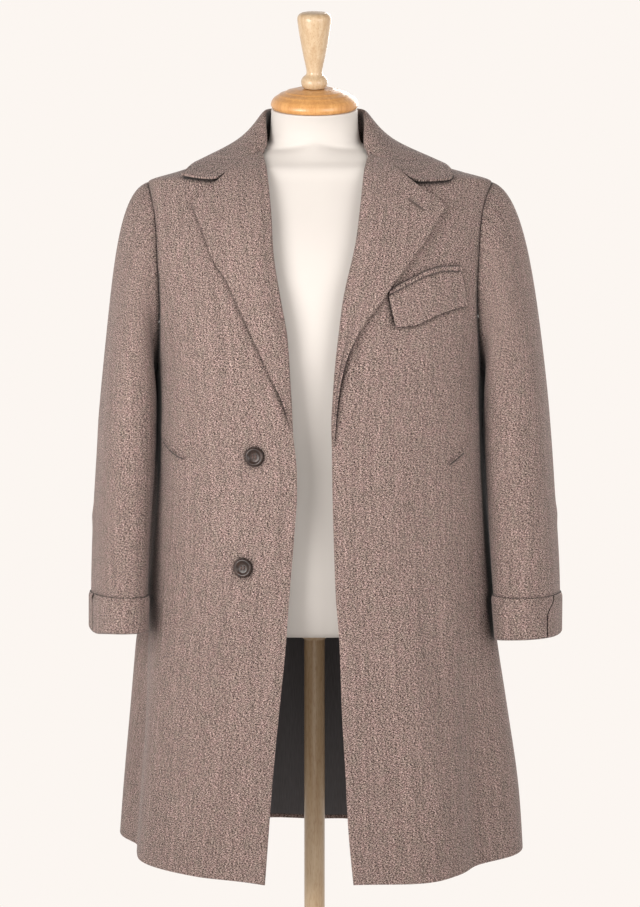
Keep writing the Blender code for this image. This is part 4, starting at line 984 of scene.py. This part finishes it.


# painted shade: near-black tubes along the side pockets' mouths and the lapel buttonhole's slit stand in for the shade
# inside these openings
slitShade = addThread("slitShade", (0.010, 0.007, 0.006), (0.024, 0.016, 0.014))
for part, up, place, edge in (("Flap", 28, flapPlace, 0.0010), ("Jet", 8, jetPlace, 0.0006)):
    piece = layCloth("chestPocket" + part, chestPocket["across"], up, place)
    wall, cut = chestPocket[part.lower() + "Wall"], chestPocket[part.lower() + "Cut"]
    finishCloth(piece, wall, offset=1.0, edge=edge)
for side, word in sideWord.items():
    place = partial(sidePocketPlace, side)
    finishCloth(layCloth("sidePocket" + word, 40, 24, place), sidePocket["wall"],
                edge=0.0003)
    share = np.linspace(*sidePocket["mouthEnds"][side], sidePocket["mouthSteps"])
    # a near-black tube along the mouth: painted shade in the opening
    mouth = addTube("sidePocketMouth" + word, place(share, np.full(len(share), 0.5)), sidePocket["slitShadeRadius"])
    settle(mouth, slitShade)
print("pockets laid")


# buttons and the lapel's buttonhole

button = {
    "places": {"Upper": (-0.0823, 1.0583), "Lower": (-0.0983, 0.9041)},
    "profile": [(0, 0.0024), (0.0060, 0.0024), (0.0078, 0.0030), (0.0090, 0.0040), (0.0104, 0.0044),
                (0.0119, 0.0042), (0.0131, 0.0030), (0.0130, 0.0014), (0.0106, 0), (0, 0)],
    "clear": 0.0004, "hole": 0.0012, "pitch": 0.0042, "edge": 0.00018, "around": 96, "drillAround": 20,
    # the thread: two strands to a pair of holes, each from its foot in one hole over an arch into the other
    "thread": 0.00062, "strand": 0.00045, "foot": 0.0012, "arch": 0.0019, "steps": 17,
}
polishedHorn = addSurface("polishedHorn", (0.030, 0.016, 0.012), 0.30,
                          ("Object", (0.010, 0.004, 0.010), (0.0, 0.4, 0.6), 4.0, 0.65, 0.8),
                          [(0.32, (0.010, 0.005, 0.004)), (0.55, (0.026, 0.013, 0.009)), (0.75, (0.070, 0.036, 0.026))],
                          (0.08, 0.0002), Specular_IOR_Level=0.35)
buttonThread = addThread("buttonThread", (0.060, 0.030, 0.024), (0.15, 0.080, 0.066))


def addButton(word, x, z):
    spot, normal = restOn(frontPieces[right], x, z)
    place = Matrix.Translation(spot + normal * button["clear"]) @ normal.to_track_quat("Z", "Y").to_matrix().to_4x4()
    piece = turnPiece("button" + word, button["profile"], 1.0, button["around"], place)
    corners = [np.array([math.cos(turn), math.sin(turn)]) * button["pitch"] / 2**0.5
               for turn in (math.pi / 4 + k * math.pi / 2 for k in range(4))]
    for across, up in corners:
        clearSelection()
        bpy.ops.mesh.primitive_cylinder_add(vertices=button["drillAround"], radius=button["hole"], depth=0.02)
        drill = bpy.context.object
        drill.data.transform(place @ Matrix.Translation((across, up, 0)))
        applyModifier(piece, "BOOLEAN", operation="DIFFERENCE", object=drill, solver="EXACT")
        pick(drill)
        bpy.ops.object.delete()
    chamfer(piece, button["edge"], 2)
    settle(piece, polishedHorn, "horn")
    threads = []
    for first, second in ((0, 3), (1, 2)):
        for shift in (-button["strand"], button["strand"]):
            start, end = corners[first] + (0, shift), corners[second] + (0, shift)
            path = []
            for t in np.linspace(0, 1, button["steps"]):
                rise = button["foot"] + button["arch"] * math.sin(math.pi * t) ** 0.6
                path.append((place @ Vector((*(start + (end - start) * t), rise)))[:])
            threads.append(addTube("buttonThread", path, button["thread"]))
    clearSelection()
    for thread in threads:
        thread.select_set(True)
    bpy.context.view_layer.objects.active = threads[0]
    bpy.ops.object.join()
    threads[0].name = threads[0].data.name = "buttonThread" + word
    settle(threads[0], buttonThread)


for word, (x, z) in button["places"].items():
    addButton(word, x, z)

buttonhole = {
    "from": (0.1305, 1.4134), "to": (0.1524, 1.3979), "halfWidth": 0.0009, "thread": 0.0007, "lift": 0.0001,
    "around": 90, "slit": (0.03, 0.97, 24), "slitShare": 0.7,
}


def addButtonhole():
    start, end = np.array(buttonhole["from"]), np.array(buttonhole["to"])
    way = end - start
    aside = unit(np.array([-way[1], way[0]]))
    path = []
    for turn in np.linspace(0, 2 * math.pi, buttonhole["around"], endpoint=False):
        x, z = start + way * (0.5 - 0.5 * math.cos(turn)) + aside * buttonhole["halfWidth"] * math.sin(turn)
        spot, normal = restOn(lapelPieces[left], x, z)
        path.append((spot + normal * buttonhole["lift"])[:])
    settle(addTube("lapelButtonhole", path, buttonhole["thread"], closed=True),
           addThread("buttonholeThread", (0.050, 0.032, 0.027), (0.12, 0.078, 0.064)))
    # a near-black tube along the slit: painted shade inside it
    spots = [restOn(lapelPieces[left], *(start + way * t))[0][:] for t in np.linspace(*buttonhole["slit"])]
    settle(addTube("lapelButtonholeSlit", spots, buttonhole["halfWidth"] * buttonhole["slitShare"]), slitShade)


addButtonhole()
print("buttons and buttonhole made")


# the dress form

form = {
    # height, half width, depths before and behind
    "levels": [
        (0.800, 0.1480, 0.0980, 0.1080), (0.806, 0.1540, 0.1040, 0.1140), (0.850, 0.1620, 0.1120, 0.1230),
        (0.900, 0.1640, 0.1130, 0.1230), (0.970, 0.1570, 0.1080, 0.1130), (1.050, 0.1500, 0.1050, 0.1030),
        (1.130, 0.1570, 0.1120, 0.1060), (1.210, 0.1740, 0.1210, 0.1150), (1.290, 0.1880, 0.1210, 0.1200),
        (1.350, 0.1970, 0.1110, 0.1160), (1.395, 0.2010, 0.0960, 0.1040), (1.425, 0.1990, 0.0830, 0.0920),
        (1.440, 0.1930, 0.0765, 0.0860)],
    "shoulderRows": [1.4600, 1.4710, 1.4820, body["neck"]], "clear": 0.0009, "ease": 0.0016,
    "shoulderSquare": 2.25, "throat": [0, 0.0008, 0.0042, 0.0080], "throatWidth": 0.6,      # fuller in front
    # height, half width, depths, and the slope that the ring takes on
    "neck": [
        (1.4990, 0.0660, 0.0432, 0.0680, 0.0), (1.5110, 0.0635, 0.0455, 0.0640, 0.05),
        (1.5290, 0.0620, 0.0520, 0.0610, 0.14), (1.5455, 0.0615, 0.0590, 0.0590, math.tan(math.radians(14)))],
    "around": 128, "between": 5, "edge": 0.0030,
    "cap": [
        (0, 0.0285), (0.0260, 0.0285), (0.0330, 0.0266), (0.0400, 0.0250), (0.0418, 0.0234), (0.0500, 0.0207),
        (0.0517, 0.0189), (0.0580, 0.0150), (0.0612, 0.0105), (0.0624, 0.0062), (0.0612, 0.0025), (0.0585, 0),
        (0, 0)],
    "finial": [
        (0, 0.1080), (0.0130, 0.1075), (0.0205, 0.1058), (0.0243, 0.1010), (0.0240, 0.0940), (0.0206, 0.0720),
        (0.0165, 0.0500), (0.0125, 0.0320), (0.0110, 0.0240), (0.0116, 0.0195), (0.0165, 0.0160),
        (0.0190, 0.0120), (0.0190, 0.0065), (0.0165, 0.0015), (0.0150, 0), (0, 0)],
    "pole": [
        (0, 0.7997), (0.0300, 0.7997), (0.0300, 0.7937), (0.0150, 0.7837), (0.0150, 0.0323), (0, 0.0323)],
    "base": [
        (0, 0.0320), (0.0380, 0.0320), (0.0480, 0.0260), (0.1450, 0.0200), (0.1700, 0.0170), (0.1860, 0.0130),
        (0.1900, 0.0090), (0.1900, 0.0030), (0.1870, 0), (0, 0)],
}


def levelRing(side, angle, z, half, before, behind, square, slope):
    r = squared(angle, half, before, behind, square, square)
    y = -r * np.cos(angle)
    return np.stack([side * r * np.sin(angle), y, z + y * slope], axis=-1)


def formGrid():
    turn = 2 * math.pi * np.arange(form["around"] + 1) / form["around"]
    side = np.where(turn <= math.pi, left, right)
    angle = np.where(turn <= math.pi, turn, 2 * math.pi - turn)
    rings = [levelRing(side, angle, *level, form["shoulderSquare"], 0.0) for level in form["levels"]]
    for z, throat in zip(form["shoulderRows"], form["throat"]):
        ring = np.empty((len(turn), 3))
        for half in (right, left):
            here = angle[side == half]
            lift = (throat * np.exp(-(here / form["throatWidth"]) ** 2) - cloth["wall"] - form["clear"]
                    - form["ease"] * np.abs(np.cos(here)))
            ring[side == half] = offBody(half, here, z, lift)
        rings.append(ring)
    rings += [levelRing(side, angle, *sizes, 2.0, slope) for *sizes, slope in form["neck"]]
    rings = np.array(rings)
    rings[:, -1] = rings[:, 0]
    steps = np.linspace(0, len(rings) - 1, (len(rings) - 1) * form["between"] + 1)
    return curveThrough(np.arange(len(rings)), rings, steps)


torso = closeSurface(layRows("formTorso", formGrid()), partial(bpy.ops.mesh.fill_holes, sides=0))
chamfer(torso, form["edge"], 4)
formCover = addSurface("formCover", (0.80, 0.765, 0.715), 0.62, ("Object", (0.12, 0.12, 0.16), (0, 0, 0)),
                       [(0.35, (0.530, 0.494, 0.464)), (0.65, (0.568, 0.534, 0.500))], (0.18, 0.0003),
                       ("Object", (0.0014, 0.0014, 0.0009), (0, 0, 0), 1.0), Sheen_Weight=0.10, Specular_IOR_Level=0.3)
settle(torso, formCover, "form_cover")
capBeech = addBeech("capBeech", (0.46, 0.212, 0.062), (0.55, 0.272, 0.085), (0.62, 0.330, 0.115))
paleBeech = addBeech("paleBeech", (0.44, 0.295, 0.165), (0.50, 0.36, 0.220), (0.55, 0.415, 0.270))
neckTop, _, neckFront, neckBack, neckSlope = form["neck"][-1]
capPlace = (Matrix.Translation((0, (neckBack - neckFront) / 2, neckTop + cloth["seamGap"]))
            @ Matrix.Rotation(math.atan(neckSlope), 4, "X"))
finialPlace = capPlace @ Matrix.Translation((0, 0, form["cap"][0][1] + cloth["seamGap"]))
upright = Matrix.Identity(4)
for name, part, corner, around, place, beech in (
        ("formNeckCap", "cap", 0.0014, 128, capPlace, capBeech),
        ("formFinial", "finial", 1.0, 96, finialPlace, paleBeech),
        ("formPole", "pole", 0.0016, 64, upright, paleBeech),
        ("formBase", "base", 0.0030, 128, upright, paleBeech)):
    settle(turnPiece(name, form[part], corner, around, place), beech, "beech")
print("dress form turned")


# stage: floor, light and camera

stage = {
    "cream": (0.973, 0.922, 0.880), "overhead": 0.42, "skyFade": (0.35, 0.8),
    "floorSize": 120, "floorReach": 1.9, "floorFade": (0.18, 0.60),
    "floorGlow": (0.56, 1.0), "floorColour": (0.22, 0.0),    # near the form, and far off: dimmer and darker near the form, a painted shadow round the base; far off evenly cream
}

floorMaterial, tree, shader = startMaterial("studioFloor", (0.4, 0.4, 0.4), 0.9, Specular_IOR_Level=0.0,
                                            Emission_Color=(*stage["cream"], 1))
reach = addNode(tree, "Mapping", {"Vector": addNode(tree, "TexCoord").outputs["Object"],
                                  "Scale": (stage["floorReach"],) * 3}, vector_type="TEXTURE")
circle = addNode(tree, "TexGradient", {"Vector": reach.outputs["Vector"]}, gradient_type="QUADRATIC_SPHERE")
outer, inner = stage["floorFade"]
# painted shade: the floor glows less near the form, so it lights the coat less from below and looks shadowed round the
# base
for socket, (near, far) in (("Base Color", stage["floorColour"]), ("Emission Strength", stage["floorGlow"])):
    shade = ramp(tree, circle.outputs["Fac"], (outer, (far,) * 3), (inner, (near,) * 3))
    tree.links.new(shade, shader.inputs[socket])
clearSelection()
bpy.ops.mesh.primitive_plane_add(size=stage["floorSize"], location=(0, 0, 0))
floor = bpy.context.object
floor.name = "studioFloor"
floor.data.materials.append(floorMaterial)

world = bpy.data.worlds.new("studioWorld")
bpy.context.scene.world = world
world.use_nodes = True
sky, (low, high) = world.node_tree, stage["skyFade"]
upwards = addNode(sky, "SeparateXYZ", {"Vector": addNode(sky, "TexCoord").outputs["Generated"]}).outputs["Z"]
overhead = tuple(stage["overhead"] * part for part in stage["cream"])
sky.links.new(ramp(sky, upwards, (low, stage["cream"]), (high, overhead)), sky.nodes["Background"].inputs["Color"])
bpy.context.scene.view_settings.view_transform = "Standard"

lights = [
    # name, place, aim, size, spread, power, colour
    ("keyLight", (-1.18, -1.56, 1.34), (0, 0, 1.20), 1.0, 118, 15.9, (1.0, 0.985, 0.965)),
    ("fillLight", (1.20, -1.66, 1.40), (0, 0, 1.20), 1.2, 118, 8.9, (1.0, 0.99, 0.98)),
    ("backLight", (1.2, 3.2, 2.6), (0, 0, 1.1), 1.8, 180, 60, (1.0, 0.99, 0.98)),
]

for name, place, aim, size, spread, power, colour in lights:
    clearSelection()
    bpy.ops.object.light_add(type="AREA", location=place)
    lamp = bpy.context.object
    lamp.name = name
    lamp.data.shape, lamp.data.size = "SQUARE", size
    lamp.data.energy, lamp.data.color, lamp.data.spread = power, colour, math.radians(spread)
    x, y, z = np.array(aim) - np.array(place)
    lamp.rotation_euler = (math.pi / 2 + math.atan2(z, math.hypot(x, y)), 0, math.atan2(y, x) - math.pi / 2)

camera = {"place": (0.008, -3.4, 1.30), "pitch": 4.16, "lens": 93.93, "sensor": 36}
clearSelection()
bpy.ops.object.camera_add(location=camera["place"], rotation=(math.radians(90 - camera["pitch"]), 0, 0))
bpy.context.object.data.lens = camera["lens"]
bpy.context.object.data.sensor_width = camera["sensor"]
bpy.context.scene.camera = bpy.context.object
print("stage set")
